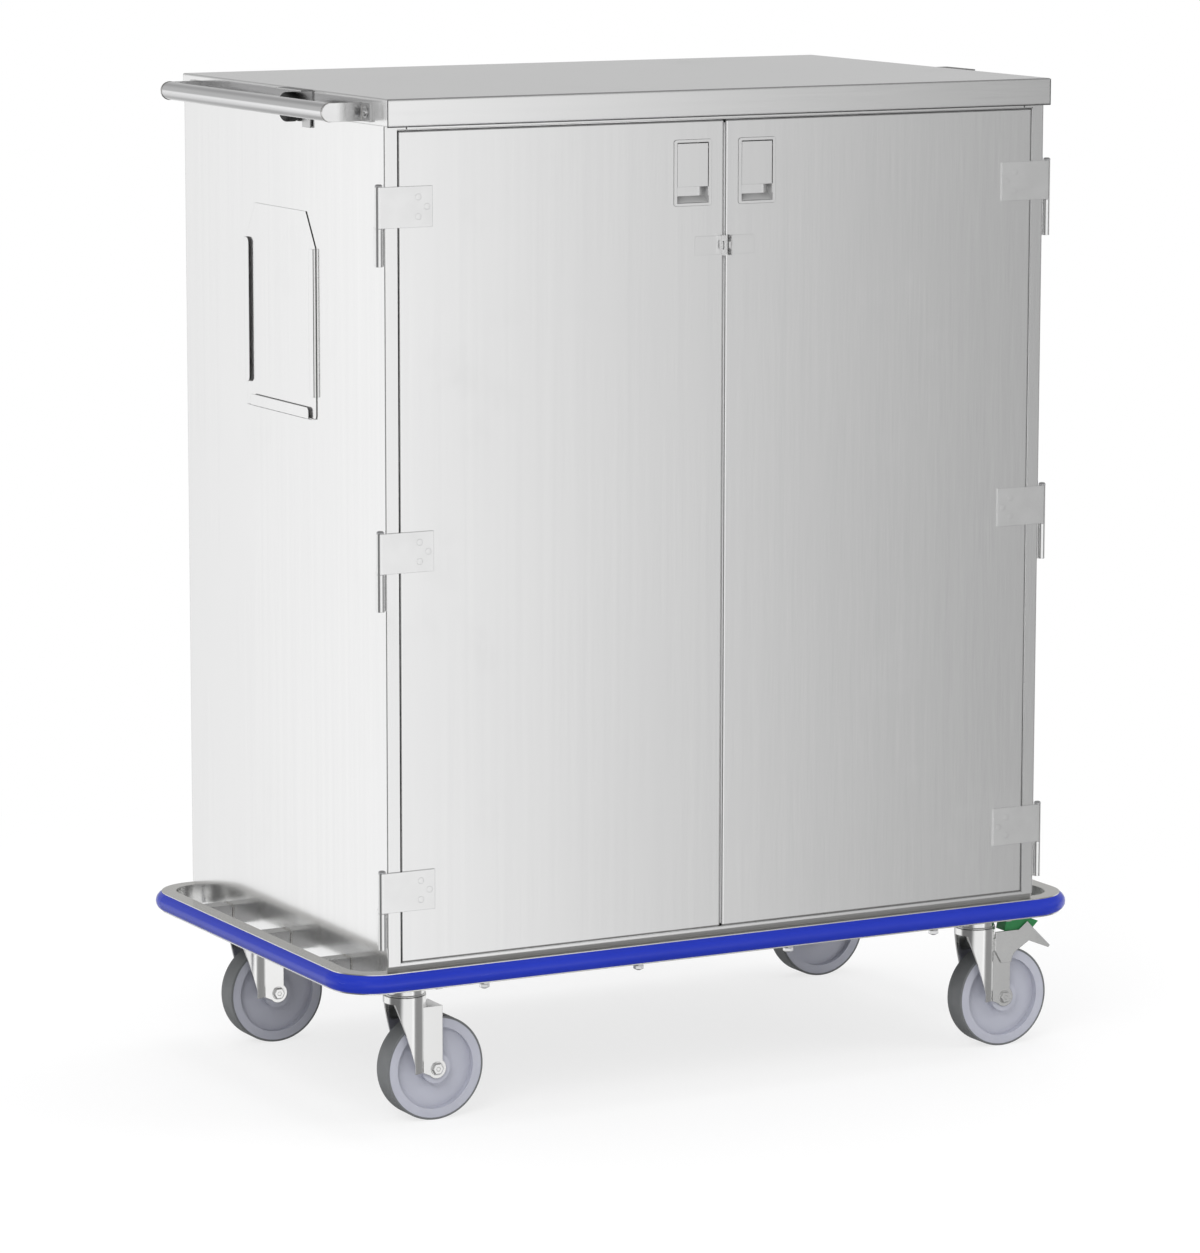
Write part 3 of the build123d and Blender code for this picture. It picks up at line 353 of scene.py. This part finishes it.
# dark rubber for the header joints, painted shade in their gaps
jointShadeRubber = mouldedPlastic("Joint shade rubber", {
    "skin": 1400.0, "cloud": 30.0, "scuff": 60.0, "scuffAlong": (1.0, 1.0, 1.0), "scuffTone": 0.3,
    "dark": (0.07, 0.07, 0.07), "light": (0.11, 0.11, 0.11), "worn": (0.18, 0.18, 0.18),
    "rough": 0.5, "depth": 0.00003,
})
# grey rubber for the door seals, lighter than black so the gaps behind them show lighter, partly painted
# light; it also makes the dark lines round the latch bezels
sealRubber = mouldedPlastic("Door seal rubber", {
    "skin": 1400.0, "cloud": 12.0, "scuff": 40.0, "scuffAlong": (1.0, 1.0, 1.0), "scuffTone": 0.3,
    "dark": (0.26, 0.26, 0.26), "light": (0.34, 0.34, 0.34), "worn": (0.40, 0.40, 0.40),
    "rough": 0.6, "depth": 0.00004,
})
# pale vinyl for the seal in the door seam, partly painted light in the gap
paleSeal = mouldedPlastic("Pale seal vinyl", {
    "skin": 1400.0, "cloud": 12.0, "scuff": 40.0, "scuffAlong": (1.0, 1.0, 1.0), "scuffTone": 0.2,
    "dark": (0.56, 0.56, 0.56), "light": (0.64, 0.64, 0.64), "worn": (0.70, 0.70, 0.70),
    "rough": 0.4, "depth": 0.00002,
})
wheelNylon = mouldedPlastic("Wheel nylon", {
    "skin": 800.0, "cloud": 25.0, "scuff": 50.0, "scuffAlong": (1.0, 1.0, 1.0), "scuffTone": 0.25,
    "dark": (0.45, 0.46, 0.53), "light": (0.52, 0.53, 0.60), "worn": (0.57, 0.57, 0.61),
    "rough": 0.45, "depth": 0.00003,
})
treadRubber = mouldedPlastic("Tread rubber", {
    "skin": 900.0, "cloud": 40.0, "scuff": 30.0, "scuffAlong": (1.0, 4.0, 1.0), "scuffTone": 0.4,
    "dark": (0.140, 0.147, 0.152), "light": (0.185, 0.192, 0.197), "worn": (0.26, 0.26, 0.26),
    "rough": 0.52, "depth": 0.00006,
})
greenPlastic = mouldedPlastic("Green tab plastic", {
    "skin": 900.0, "cloud": 60.0, "scuff": 90.0, "scuffAlong": (1.0, 1.0, 1.0), "scuffTone": 0.3,
    "dark": (0.015, 0.22, 0.06), "light": (0.03, 0.33, 0.09), "worn": (0.12, 0.5, 0.2),
    "rough": 0.35, "depth": 0.00003,
})
print("finishes made:", len(bpy.data.materials))

# Which finish each part of the frame has; the first stem that the name starts with counts
finishOf = [
    ("top_cap", capSteel), ("header", levelSteel), ("floor_deck", levelSteel), ("shelf_lower", levelSteel),
    ("shelf_upper", levelSteel), ("handle_tube", tubeSteel), ("handle_arms", handleSteel),
    ("handle_bolts", boltZinc), ("side_panel", uprightSteel), ("back_panel", uprightSteel),
    ("door_skin", uprightSteel), ("door_liner", uprightSteel), ("door_seal", sealRubber),
    ("door_hinges", hingeSteel), ("hinge_cabinet", hingeSteel), ("hinge_pins", boltZinc),
    ("hinge_screws", hingeSteel), ("latch_cup", cupSteel), ("latch_paddle", uprightSteel),
    ("latch_bolt", boltZinc), ("seal_hasp", haspSteel), ("card_holder", cardSteel),
    ("holdback_brackets", holdBackSteel), ("holdback_bumpers", blackRubber), ("base_frame", innerSteel),
    ("outriggers", armSteel), ("bumper_rail", railSteel), ("bumper_strip", blueVinyl),
    ("underside_bolts", boltZinc), ("caster_plates", stampedSteel), ("kingpins", boltZinc),
    ("fork", stampedSteel), ("axle", boltZinc), ("wheel", wheelNylon), ("tread", treadRubber),
    ("lock_lever", stampedSteel), ("lock_tab", greenPlastic), ("shelf_standards", innerSteel),
    ("shelf_clips", boltZinc),
]
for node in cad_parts:
    finish = next(material for stem, material in finishOf if node.startswith(stem))
    held = bpy.data.objects[node]
    if not held.material_slots:
        held.data.materials.append(finish)
    for holder in held.material_slots:
        holder.material = finish
print("finishes given to the frame's nodes")

# Pieces that the frame leaves to the looks

def addPiece(name, shape, body, finish, crease=35.0):
    mesh = bpy.data.meshes.new(name)
    bmesh.ops.recalc_face_normals(shape, faces=shape.faces)
    for face in shape.faces:
        face.smooth = True
    shape.to_mesh(mesh)
    shape.free()
    mesh.set_sharp_from_angle(angle=math.radians(crease))
    mesh.materials.append(finish)
    piece = bpy.data.objects.new(name, mesh)
    scene.collection.objects.link(piece)
    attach(piece, body)
    return piece


def lathe(shape, spot, towards, profile, steps=28):
    # turns a profile of (distance along the axis, radius) round that axis; 6 steps make a hexagon
    turn = Vector((0, 0, 1)).rotation_difference(Vector(towards)).to_matrix()
    rings = []
    for along, radius in profile:
        ring = []
        for step in range(steps):
            angle = 2 * math.pi * step / steps
            point = Vector((radius * math.cos(angle), radius * math.sin(angle), along))
            ring.append(shape.verts.new(Vector(spot) + turn @ point))
        rings.append(ring)
    for low, high in zip(rings, rings[1:]):
        for step in range(steps):
            after = (step + 1) % steps
            shape.faces.new((low[step], low[after], high[after], high[step]))
    shape.faces.new(rings[0])
    shape.faces.new(rings[-1])


# Weld beads: steps to a ripple, the radius in its valleys and at the ends, and how fast the ends rise
beadLook = {"steps": 4, "valley": 0.84, "end": 0.35, "rise": 6, "around": 10}


def weldLine(shape, start, end, radius, ripple):
    # a bead laid along a line, with the ripples of its passes and tapered ends
    along = Vector(end) - Vector(start)
    count = beadLook["steps"] * max(2, round(along.length / ripple))
    profile = []
    for step in range(count + 1):
        share = step / count
        wave = abs(math.sin(step * math.pi / beadLook["steps"]))
        swell = beadLook["valley"] + (1 - beadLook["valley"]) * wave
        taper = min(1.0, beadLook["end"] + beadLook["rise"] * min(share, 1 - share))
        profile.append((along.length * share, radius * swell * taper))
    lathe(shape, start, along, profile, steps=beadLook["around"])


def plate(shape, low, high, edge):
    # a plate between two corners, its edges broken
    middle = (Vector(low) + Vector(high)) / 2
    size = Vector(high) - Vector(low)
    spread = Matrix.Translation(middle) @ Matrix.Diagonal((*size, 1))
    made = bmesh.ops.create_cube(shape, size=1.0, matrix=spread)
    edges = {e for vertex in made["verts"] for e in vertex.link_edges}
    bmesh.ops.bevel(shape, geom=list(edges), offset=edge, segments=2, affect="EDGES", profile=0.5)


def roundedLoop(centre, width, height, radius, arc=6):
    # points of a rounded rectangle, as (x, z)
    loop = []
    for quarter, (sx, sz) in enumerate(((1, 1), (-1, 1), (-1, -1), (1, -1))):
        for step in range(arc + 1):
            angle = math.radians(90 * (quarter + step / arc))
            loop.append((centre[0] + sx * (width / 2 - radius) + radius * math.cos(angle),
                         centre[1] + sz * (height / 2 - radius) + radius * math.sin(angle)))
    return loop


def frameRing(shape, inner, outer, front, back):
    # a flat ring between two loops, standing from its back to its front plane
    rings = [[shape.verts.new((x, y, z)) for x, z in loop]
             for loop, y in ((inner, back), (inner, front), (outer, front), (outer, back))]
    for first, second in zip(rings, rings[1:] + rings[:1]):
        for step in range(len(first)):
            after = (step + 1) % len(first)
            shape.faces.new((first[step], first[after], second[after], second[step]))


sides = {"left": -1, "right": 1}
places = ("front_left", "front_right", "rear_left", "rear_right")

# Hinge screws: nearly flush heads, three on each door leaf, placed inside the frame's larger ones
screwLook = {
    "profile": [(-0.0006, 0.0046), (0.00010, 0.0046), (0.00018, 0.0044), (0.00020, 0.0004)],
    "frameRadius": 0.005, "inset": 0.0016, "row": 0.0135, "spread": 0.0135, "hinges": 3,
}


def makeHingeScrews(word, side):
    low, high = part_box(f"hinge_screws_{word}")
    reach = screwLook["frameRadius"] + screwLook["inset"]
    nose = low[0] + reach if side > 0 else high[0] - reach
    margin = screwLook["frameRadius"] + screwLook["spread"]
    shape = bmesh.new()
    for n in range(screwLook["hinges"]):
        share = n / (screwLook["hinges"] - 1)
        middle = (low[2] + margin) * (1 - share) + (high[2] - margin) * share
        for dx, dz in ((0, 0), (1, 1), (1, -1)):
            spot = (nose + side * dx * screwLook["row"], high[1], middle + dz * screwLook["spread"])
            lathe(shape, spot, (0, -1, 0), screwLook["profile"])
    heads = addPiece(f"hinge_screw_heads_{word}", shape, f"door_{word}",
                     hingeSteel, crease=6.0)
    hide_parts(f"hinge_screws_{word}")


# Latches: a dark gasket line round each bezel, partly a real gasket and partly painted shade round the
# bezel's edge, and a cover plate with its screws inside the door
latchLook = {
    "line": 0.0004, "proud": 0.0002, "corner": 0.004,
    "cover": (0.045, 0.062), "thick": 0.001, "edge": 0.0004, "screwInset": 0.007,
    "screw": [(0.0, 0.0040), (0.0003, 0.0040), (0.0008, 0.0030), (0.0009, 0.0018), (0.0003, 0.0016),
              (0.0003, 0.0003)],
}


def makeLatchTrim(word):
    low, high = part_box(f"latch_cup_{word}")
    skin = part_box(f"door_skin_{word}")
    centre = ((low[0] + high[0]) / 2, (low[2] + high[2]) / 2)
    width, height, line = high[0] - low[0], high[2] - low[2], latchLook["line"]
    shape = bmesh.new()
    inner = roundedLoop(centre, width, height, latchLook["corner"])
    outer = roundedLoop(centre, width + 2 * line, height + 2 * line, latchLook["corner"] + line)
    frameRing(shape, inner, outer, skin[0][1] - latchLook["proud"], skin[0][1] + latchLook["proud"])
    addPiece(f"latch_gasket_{word}", shape, f"door_{word}", sealRubber)
    halfWide, halfHigh = latchLook["cover"]
    back = skin[1][1]
    shape = bmesh.new()
    plate(shape, (centre[0] - halfWide, back, centre[1] - halfHigh),
          (centre[0] + halfWide, back + latchLook["thick"], centre[1] + halfHigh), latchLook["edge"])
    for sx in (-1, 1):
        for sz in (-1, 1):
            spot = (centre[0] + sx * (halfWide - latchLook["screwInset"]), back + latchLook["thick"],
                    centre[1] + sz * (halfHigh - latchLook["screwInset"]))
            lathe(shape, spot, (0, 1, 0), latchLook["screw"])
    addPiece(f"latch_cover_{word}", shape, f"door_{word}", uprightSteel)


# Seam between the doors: a pale vinyl seal on the left door's edge, its root set back and its nose in
# front; its pale colour is painted light that lifts the seam's shade
seamLook = {
    "reach": 0.0022, "root": (0.0030, 0.010), "nose": (0.0006, 0.0034), "step": 0.0010, "end": 0.004,
    "edge": 0.0002,
}


def makeSeamSeal():
    low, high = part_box("door_skin_left")
    shape = bmesh.new()
    for inset, (front, back) in ((0.0, seamLook["root"]), (seamLook["step"], seamLook["nose"])):
        plate(shape, (high[0] + inset, low[1] + front, low[2] + seamLook["end"]),
              (high[0] + seamLook["reach"], low[1] + back, high[2] - seamLook["end"]), seamLook["edge"])
    addPiece("seam_seal", shape, "door_left", paleSeal)


# Door surround: thin steel strips that narrow the gaps above, below and to the right of the doors
surroundLook = {"above": 0.0013, "side": 0.0015, "clear": 0.0002, "post": 0.020, "deep": 0.006,
                "back": 0.0003, "edge": 0.0001}


def makeDoorSurround():
    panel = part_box("side_panel_right")
    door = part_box("door_skin_right")
    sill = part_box("floor_deck")[1][2]
    look = surroundLook
    jamb = panel[1][0] - look["post"]
    front = panel[0][1] + look["back"]
    head = door[1][2] + jamb - door[1][0]
    shape = bmesh.new()
    low = door[0][2] - look["clear"]
    plate(shape, (-jamb, front, sill), (jamb, front + look["deep"], low), look["edge"])
    plate(shape, (-jamb, front, head - look["above"]), (jamb, front + look["deep"], head), look["edge"])
    plate(shape, (jamb - look["side"], front, sill), (jamb, front + look["deep"], head), look["edge"])
    addPiece("door_surround", shape, "cart", uprightSteel)


# Cap: a dark strip under its front flange, painted shade along the flange's bottom edge, and dark seams at
# its front corners, partly real seam and partly painted shade on the bends
capLook = {
    "hem": 0.0013, "thick": 0.0022, "inset": 0.0002, "edge": 0.0002,
    "seam": 0.0006, "sunk": 0.0004, "foot": 0.6, "tip": 0.5, "taper": 0.001, "below": 0.003,
}


def makeCapShadeLines():
    low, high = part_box("top_cap")
    look = capLook
    hem = low[2] - look["hem"]
    x0, y0, x1 = low[0] + look["inset"], low[1] + look["inset"], high[0] - look["inset"]
    shape = bmesh.new()
    plate(shape, (x0, y0, hem), (x1, y0 + look["thick"], low[2]), look["edge"])
    tall = high[2] - hem
    seam = look["seam"]
    profile = [(0.0, seam * look["foot"]), (look["taper"], seam), (tall - look["below"], seam),
               (tall - look["taper"], seam * look["tip"])]
    for x in (low[0] + look["sunk"], high[0] - look["sunk"]):
        lathe(shape, (x, low[1] + look["sunk"], hem), (0, 0, 1), profile, steps=12)
    addPiece("cap_hem", shape, "cart", shadeAndSeamSteel)


# Card holder: a dark bead along the bottom of its tray, painted shadow where the tray meets the panel
cardShadeLook = {"sunk": 0.0006, "inset": 0.006, "radius": 0.0007, "ripple": 0.02}


def makeCardShadeLine():
    low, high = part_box("card_holder")
    x = low[0] + cardShadeLook["sunk"]
    near, far = low[1] + cardShadeLook["inset"], high[1] - cardShadeLook["inset"]
    shape = bmesh.new()
    weldLine(shape, (x, near, low[2]), (x, far, low[2]), cardShadeLook["radius"], cardShadeLook["ripple"])
    addPiece("card_hem", shape, "cart", shadeAndSeamSteel)


# Handle: domed bolts with washers through each foot, a weld ring where each arm meets the tube, and
# a line along each arm's bend. The ring's points are (along, out), in beads
handleLook = {
    "footMiddle": 0.0135, "hex": 0.0055, "shank": 0.004, "inside": 0.012,
    "head": [(0.0, 0.0082), (0.0008, 0.0082), (0.0009, 0.0060), (0.0020, 0.0058), (0.0034, 0.0046),
             (0.0043, 0.0029), (0.0046, 0.0006)],
    "bead": 0.0014, "ring": [(0.0, 0.0), (0.0, 0.6), (0.7, 0.3), (1.3, 0.0)],
    "bend": 0.016, "bendLine": 0.0006, "bendRipple": 0.0028,
}


def makeHandleBolts():
    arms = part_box("handle_arms")
    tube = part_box("handle_tube")
    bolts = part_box("handle_bolts")
    face = bolts[0][0] + handleLook["hex"]
    height = (tube[0][2] + tube[1][2]) / 2
    shape = bmesh.new()
    for y in (arms[0][1] + handleLook["footMiddle"], arms[1][1] - handleLook["footMiddle"]):
        lathe(shape, (face, y, height), (-1, 0, 0), handleLook["head"])
        lathe(shape, (face, y, height), (1, 0, 0),
              [(0.0, handleLook["shank"]), (handleLook["inside"], handleLook["shank"])], steps=16)
    heads = addPiece("handle_dome_bolts", shape, "cart", hingeSteel)
    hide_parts("handle_bolts")
    middle = (tube[0][0] + tube[1][0]) / 2
    radius = (tube[1][0] - tube[0][0]) / 2
    bead = handleLook["bead"]
    ring = [(bead * along, radius + bead * out) for along, out in handleLook["ring"]]
    shape = bmesh.new()
    for y, way in ((tube[0][1], 1), (tube[1][1], -1)):
        lathe(shape, (middle, y, height), (0, way, 0), ring)
    bend = arms[1][0] - handleLook["bend"]
    for y in (arms[0][1], arms[1][1]):
        weldLine(shape, (bend, y, arms[0][2] + bead), (bend, y, arms[1][2] - bead),
                 handleLook["bendLine"], handleLook["bendRipple"])
    addPiece("handle_welds", shape, "cart", weldBead)


# Welds where the outriggers meet the side skirts and the bumper rail
weldLook = {"pitch": 0.203, "half": 0.014, "radius": 0.0017, "ripple": 0.0035, "rows": (-1, 0, 1)}


def makeOutriggerWelds():
    low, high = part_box("outriggers")
    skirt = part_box("side_panel_right")[1][0]
    shape = bmesh.new()
    for side in (-1, 1):
        for row in weldLook["rows"]:
            for x in (side * skirt, side * high[0]):
                near = row * weldLook["pitch"] - weldLook["half"]
                far = row * weldLook["pitch"] + weldLook["half"]
                runs = [((x, near, high[2]), (x, far, high[2]))]
                runs += [((x, y, low[2]), (x, y, high[2])) for y in (near, far)]
                for start, end in runs:
                    weldLine(shape, start, end, weldLook["radius"], weldLook["ripple"])
    addPiece("outrigger_welds", shape, "cart", weldBead)


# Nuts and thread ends under the base frame's bolts
nutLook = {
    "pitch": 0.251, "count": 4, "inset": 0.0147, "head": 0.0055,
    "nut": [(0.0, 0.0068), (0.0006, 0.0076), (0.0052, 0.0076), (0.0060, 0.0066)],
    "thread": 0.004, "groove": 0.0005, "turn": 0.0011, "turns": 7,
}


def makeFrameNuts():
    low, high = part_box("base_frame")
    profile = []
    for turn in range(nutLook["turns"]):
        profile.append((turn * nutLook["turn"], nutLook["thread"]))
        profile.append(((turn + 0.5) * nutLook["turn"], nutLook["thread"] - nutLook["groove"]))
    nuts = bmesh.new()
    threads = bmesh.new()
    for n in range(nutLook["count"]):
        for y in (low[1] + nutLook["inset"], high[1] - nutLook["inset"]):
            spot = ((n - (nutLook["count"] - 1) / 2) * nutLook["pitch"], y, low[2] - nutLook["head"])
            lathe(nuts, spot, (0, 0, -1), nutLook["nut"], steps=6)
            lathe(threads, spot, (0, 0, -1), profile, steps=18)
    addPiece("frame_nuts", nuts, "cart", boltZinc, crease=20.0)
    addPiece("frame_thread_ends", threads, "cart", boltZinc)


# Casters: hexagon heads and washers on the axles, seals on the hubs and a steel ring on each race
casterLook = {
    "head": 0.004,
    "hex": [(0.0, 0.0089), (0.0040, 0.0089), (0.0047, 0.0078), (0.0047, 0.0034), (0.0041, 0.0031),
            (0.0041, 0.0002)],
    "washer": [(0.0, 0.0099), (0.0006, 0.0099), (0.0008, 0.0096), (0.0008, 0.0080)],
    "seal": [(0.0, 0.0150), (0.0006, 0.0146), (0.0006, 0.0118), (0.0002, 0.0112), (0.0002, 0.0070)],
    "hubGap": 0.0004, "legInner": 0.0205, "sealThick": 0.0006, "trail": 0.040,
    "ring": [(0.0, 0.0291), (0.0004, 0.0302), (0.0016, 0.0304), (0.0022, 0.0291)],
    "ringHeight": 0.1862,
}


def makeCasterTrim(place):
    low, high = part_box(f"axle_{place}")
    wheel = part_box(f"wheel_{place}")
    x = (low[0] + high[0]) / 2
    y = (wheel[0][1] + wheel[1][1]) / 2
    z = (low[2] + high[2]) / 2
    shape = bmesh.new()
    spot = (x, low[1] + casterLook["head"], z)
    lathe(shape, spot, (0, -1, 0), casterLook["washer"])
    lathe(shape, spot, (0, -1, 0), casterLook["hex"], steps=6)
    addPiece(f"axle_hex_{place}", shape, f"swivel_{place}", stampedSteel, crease=20.0)
    shape = bmesh.new()
    hub = casterLook["legInner"] - casterLook["hubGap"] - casterLook["sealThick"]
    for way in (-1, 1):
        lathe(shape, (x, y + way * hub, z), (0, way, 0), casterLook["seal"])
    addPiece(f"hub_seal_{place}", shape, f"rolling_{place}", blackRubber)
    shape = bmesh.new()
    spot = (x - casterLook["trail"], y, casterLook["ringHeight"])
    lathe(shape, spot, (0, 0, 1), casterLook["ring"], steps=48)
    addPiece(f"race_ring_{place}", shape, "cart", stampedSteel)


# Back panel: spot welds down both edges and along the bottom
backLook = {
    "dimple": [(-0.0001, 0.0036), (0.0002, 0.0034), (0.0003, 0.0024), (0.00012, 0.0018), (0.00012, 0.0002)],
    "inset": 0.014, "pitch": 0.095, "topPitch": 0.112,
}


def makeBackWelds():
    low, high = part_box("back_panel")
    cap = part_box("top_cap")[0][2]
    count = int((cap - low[2] - 2 * backLook["inset"]) / backLook["pitch"])
    shape = bmesh.new()
    for side in (-1, 1):
        for n in range(count + 1):
            spot = (side * (high[0] - backLook["inset"]), high[1],
                    low[2] + backLook["inset"] + n * backLook["pitch"])
            lathe(shape, spot, (0, 1, 0), backLook["dimple"], steps=20)
    across = int((high[0] - 2 * backLook["inset"]) * 2 / backLook["topPitch"])
    for n in range(1, across):
        x = (n - across / 2) * backLook["topPitch"]
        lathe(shape, (x, high[1], low[2] + backLook["inset"]), (0, 1, 0), backLook["dimple"], steps=20)
    addPiece("spot_welds", shape, "cart", levelSteel)


# Header joint: a dark bead where the header rail meets each post's ear, painted shade in the joint's gap
jointLook = {"half": 0.0009, "proud": 0.0004, "rise": 0.0048, "edge": 0.0002}


def makeHeaderJoints():
    low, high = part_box("header_rail")
    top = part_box("top_cap")[0][2]
    shape = bmesh.new()
    for x in (low[0], high[0]):
        plate(shape, (x - jointLook["half"], low[1] - jointLook["proud"], top - jointLook["rise"]),
              (x + jointLook["half"], low[1] + jointLook["proud"], top), jointLook["edge"])
    addPiece("header_joint_shade", shape, "cart", jointShadeRubber)


for word, side in sides.items():
    makeHingeScrews(word, side)
    makeLatchTrim(word)
for place in places:
    makeCasterTrim(place)
makeSeamSeal()
makeDoorSurround()
makeCapShadeLines()
makeCardShadeLine()
makeHandleBolts()
makeOutriggerWelds()
makeFrameNuts()
makeBackWelds()
makeHeaderJoints()
print("detail pieces made")

# Camera: solved from the photograph's edges, for the whole frame of it
cameraLook = {
    "place": (-3.80358, -7.01640, 1.93688),
    "yaw": 28.3419, "pitch": 9.2206, "roll": 0.0837,
    "focal": 5396.38, "frameHeight": 1253, "sensor": 36.0, "farthest": 100.0,
}
cameraData = bpy.data.cameras.new("photo camera")
cameraData.sensor_width = cameraLook["sensor"]
cameraData.lens = cameraLook["sensor"] * cameraLook["focal"] / cameraLook["frameHeight"]
cameraData.clip_end = cameraLook["farthest"]
camera = bpy.data.objects.new("photo camera", cameraData)
camera.matrix_world = (
    Matrix.Translation(cameraLook["place"])
    @ Matrix.Rotation(-math.radians(cameraLook["yaw"]), 4, "Z")
    @ Matrix.Rotation(math.radians(90 - cameraLook["pitch"]), 4, "X")
    @ Matrix.Rotation(math.radians(cameraLook["roll"]), 4, "Z")
)
scene.collection.objects.link(camera)
scene.camera = camera

# Floor: a wide pale sheet that keeps the cart's shadow and fades into the white round it
floorLook = {
    "half": 40.0, "colour": (0.93, 0.93, 0.93), "seen": (0.25, 0.25, 0.25), "lift": 0.75,
    "fadeFrom": 1.15, "fadeTo": 2.1,
}


def makeFloor():
    mesh = bpy.data.meshes.new("floor")
    half = floorLook["half"]
    mesh.from_pydata([(-half, -half, 0), (half, -half, 0), (half, half, 0), (-half, half, 0)], [],
                     [(0, 1, 2, 3)])
    floor = bpy.data.objects.new("floor", mesh)
    scene.collection.objects.link(floor)
    material, graph = newMaterial("Pale floor")
    place = graph.place()
    away = graph.add("ShaderNodeVectorMath", {"operation": "LENGTH"}, {0: place}, output=1)
    faded = graph.spread(away, floorLook["fadeFrom"], floorLook["fadeTo"])
    matt = graph.add("ShaderNodeBsdfDiffuse", {}, {"Color": floorLook["colour"]})
    veil = graph.add("ShaderNodeBsdfDiffuse", {}, {"Color": floorLook["seen"]})
    glow = graph.add("ShaderNodeEmission", {}, {"Color": (1, 1, 1), "Strength": floorLook["lift"]})
    white = graph.add("ShaderNodeEmission", {}, {"Color": (1, 1, 1), "Strength": 1.0})
    seen = graph.add("ShaderNodeLightPath", output="Is Camera Ray")
    lifted = graph.add("ShaderNodeAddShader", {}, {0: veil, 1: glow})
    backed = graph.add("ShaderNodeMixShader", {}, {0: faded, 1: lifted, 2: white})
    toLens = graph.add("ShaderNodeMixShader", {}, {0: seen, 1: matt, 2: backed})
    clear = graph.add("ShaderNodeBsdfTransparent")
    mirrored = graph.add("ShaderNodeLightPath", output="Is Glossy Ray")
    both = graph.add("ShaderNodeMixShader", {}, {0: mirrored, 1: toLens, 2: clear})
    graph.add("ShaderNodeOutputMaterial", {}, {"Surface": both})
    mesh.materials.append(material)


makeFloor()

# Room: white to the lens, an even pale light, and stretches of bright and dim for the steel to
# mirror, given by the compass angle from the front towards +X and by height. Sky and zenith are a
# light, and how far up it begins and is full; pit and deep are the same, how far down
roomLook = {
    "even": 0.62, "peak": 1.25,
    "compass": [(-180, 0.76), (-158, 0.76), (-153.6, 1.14), (-150, 1.0), (-116, 0.97),
                (-104, 0.18), (-48, 0.18), (-30, 0.95), (15, 0.95), (22, 1.17), (26, 1.08),
                (29, 0.71), (31.5, 0.49), (34, 0.34), (40, 0.28), (80, 0.30), (92, 0.95),
                (150, 0.80)],
    "sky": (0.53, -0.02, 0.09), "zenith": (0.26, 0.30, 0.52),
    "pit": (0.30, 0.30, 0.50), "deep": (0.12, 0.62, 0.80),
}


def makeRoom():
    world = bpy.data.worlds.new("studio room")
    scene.world = world
    graph = Graph(world)
    way = graph.place("Generated")
    x = graph.part(way, "X")
    y = graph.part(way, "Y")
    z = graph.part(way, "Z")
    turn = graph.add("ShaderNodeMath", {"operation": "ARCTAN2"}, {0: x, 1: 0 - y}) / (2 * math.pi)
    peak = roomLook["peak"]
    stops = [((angle + 180) / 360, (light / peak,) * 3) for angle, light in roomLook["compass"]]
    level = graph.add("ShaderNodeValToRGB", {"stops": stops}, {"Fac": turn + 0.5}) * peak
    for height, band in ((z, "sky"), (z, "zenith"), (0 - z, "pit"), (0 - z, "deep")):
        light, begins, full = roomLook[band]
        share = graph.spread(height, begins, full)
        level = level * (1 - share) + share * light
    mirrored = graph.add("ShaderNodeLightPath", output="Is Glossy Ray")
    seen = graph.add("ShaderNodeLightPath", output="Is Camera Ray")
    strength = mirrored * level + (1 - mirrored) * roomLook["even"]
    strength = seen + (1 - seen) * strength
    glow = graph.add("ShaderNodeBackground", {}, {"Color": (1, 1, 1), "Strength": strength})
    graph.add("ShaderNodeOutputWorld", {}, {"Surface": glow})


makeRoom()

# Lamps: one broad soft key from the front left, a fill from the right and one overhead
lamps = {
    "key": {"place": (-3.4, -3.2, 3.6), "size": 2.6, "power": 120.0},
    "fill": {"place": (3.8, -2.6, 2.6), "size": 2.4, "power": 35.0},
    "overhead": {"place": (0.2, 0.4, 4.2), "size": 3.2, "power": 80.0},
}
lampAim = Vector((0, 0, 0.7))
for name, lamp in lamps.items():
    light = bpy.data.lights.new(name, "AREA")
    light.size = lamp["size"]
    light.energy = lamp["power"]
    holder = bpy.data.objects.new(name, light)
    holder.location = lamp["place"]
    holder.rotation_euler = (lampAim - holder.location).to_track_quat("-Z", "Y").to_euler()
    holder.visible_glossy = False
    scene.collection.objects.link(holder)
print("room, floor, lamps and camera set")
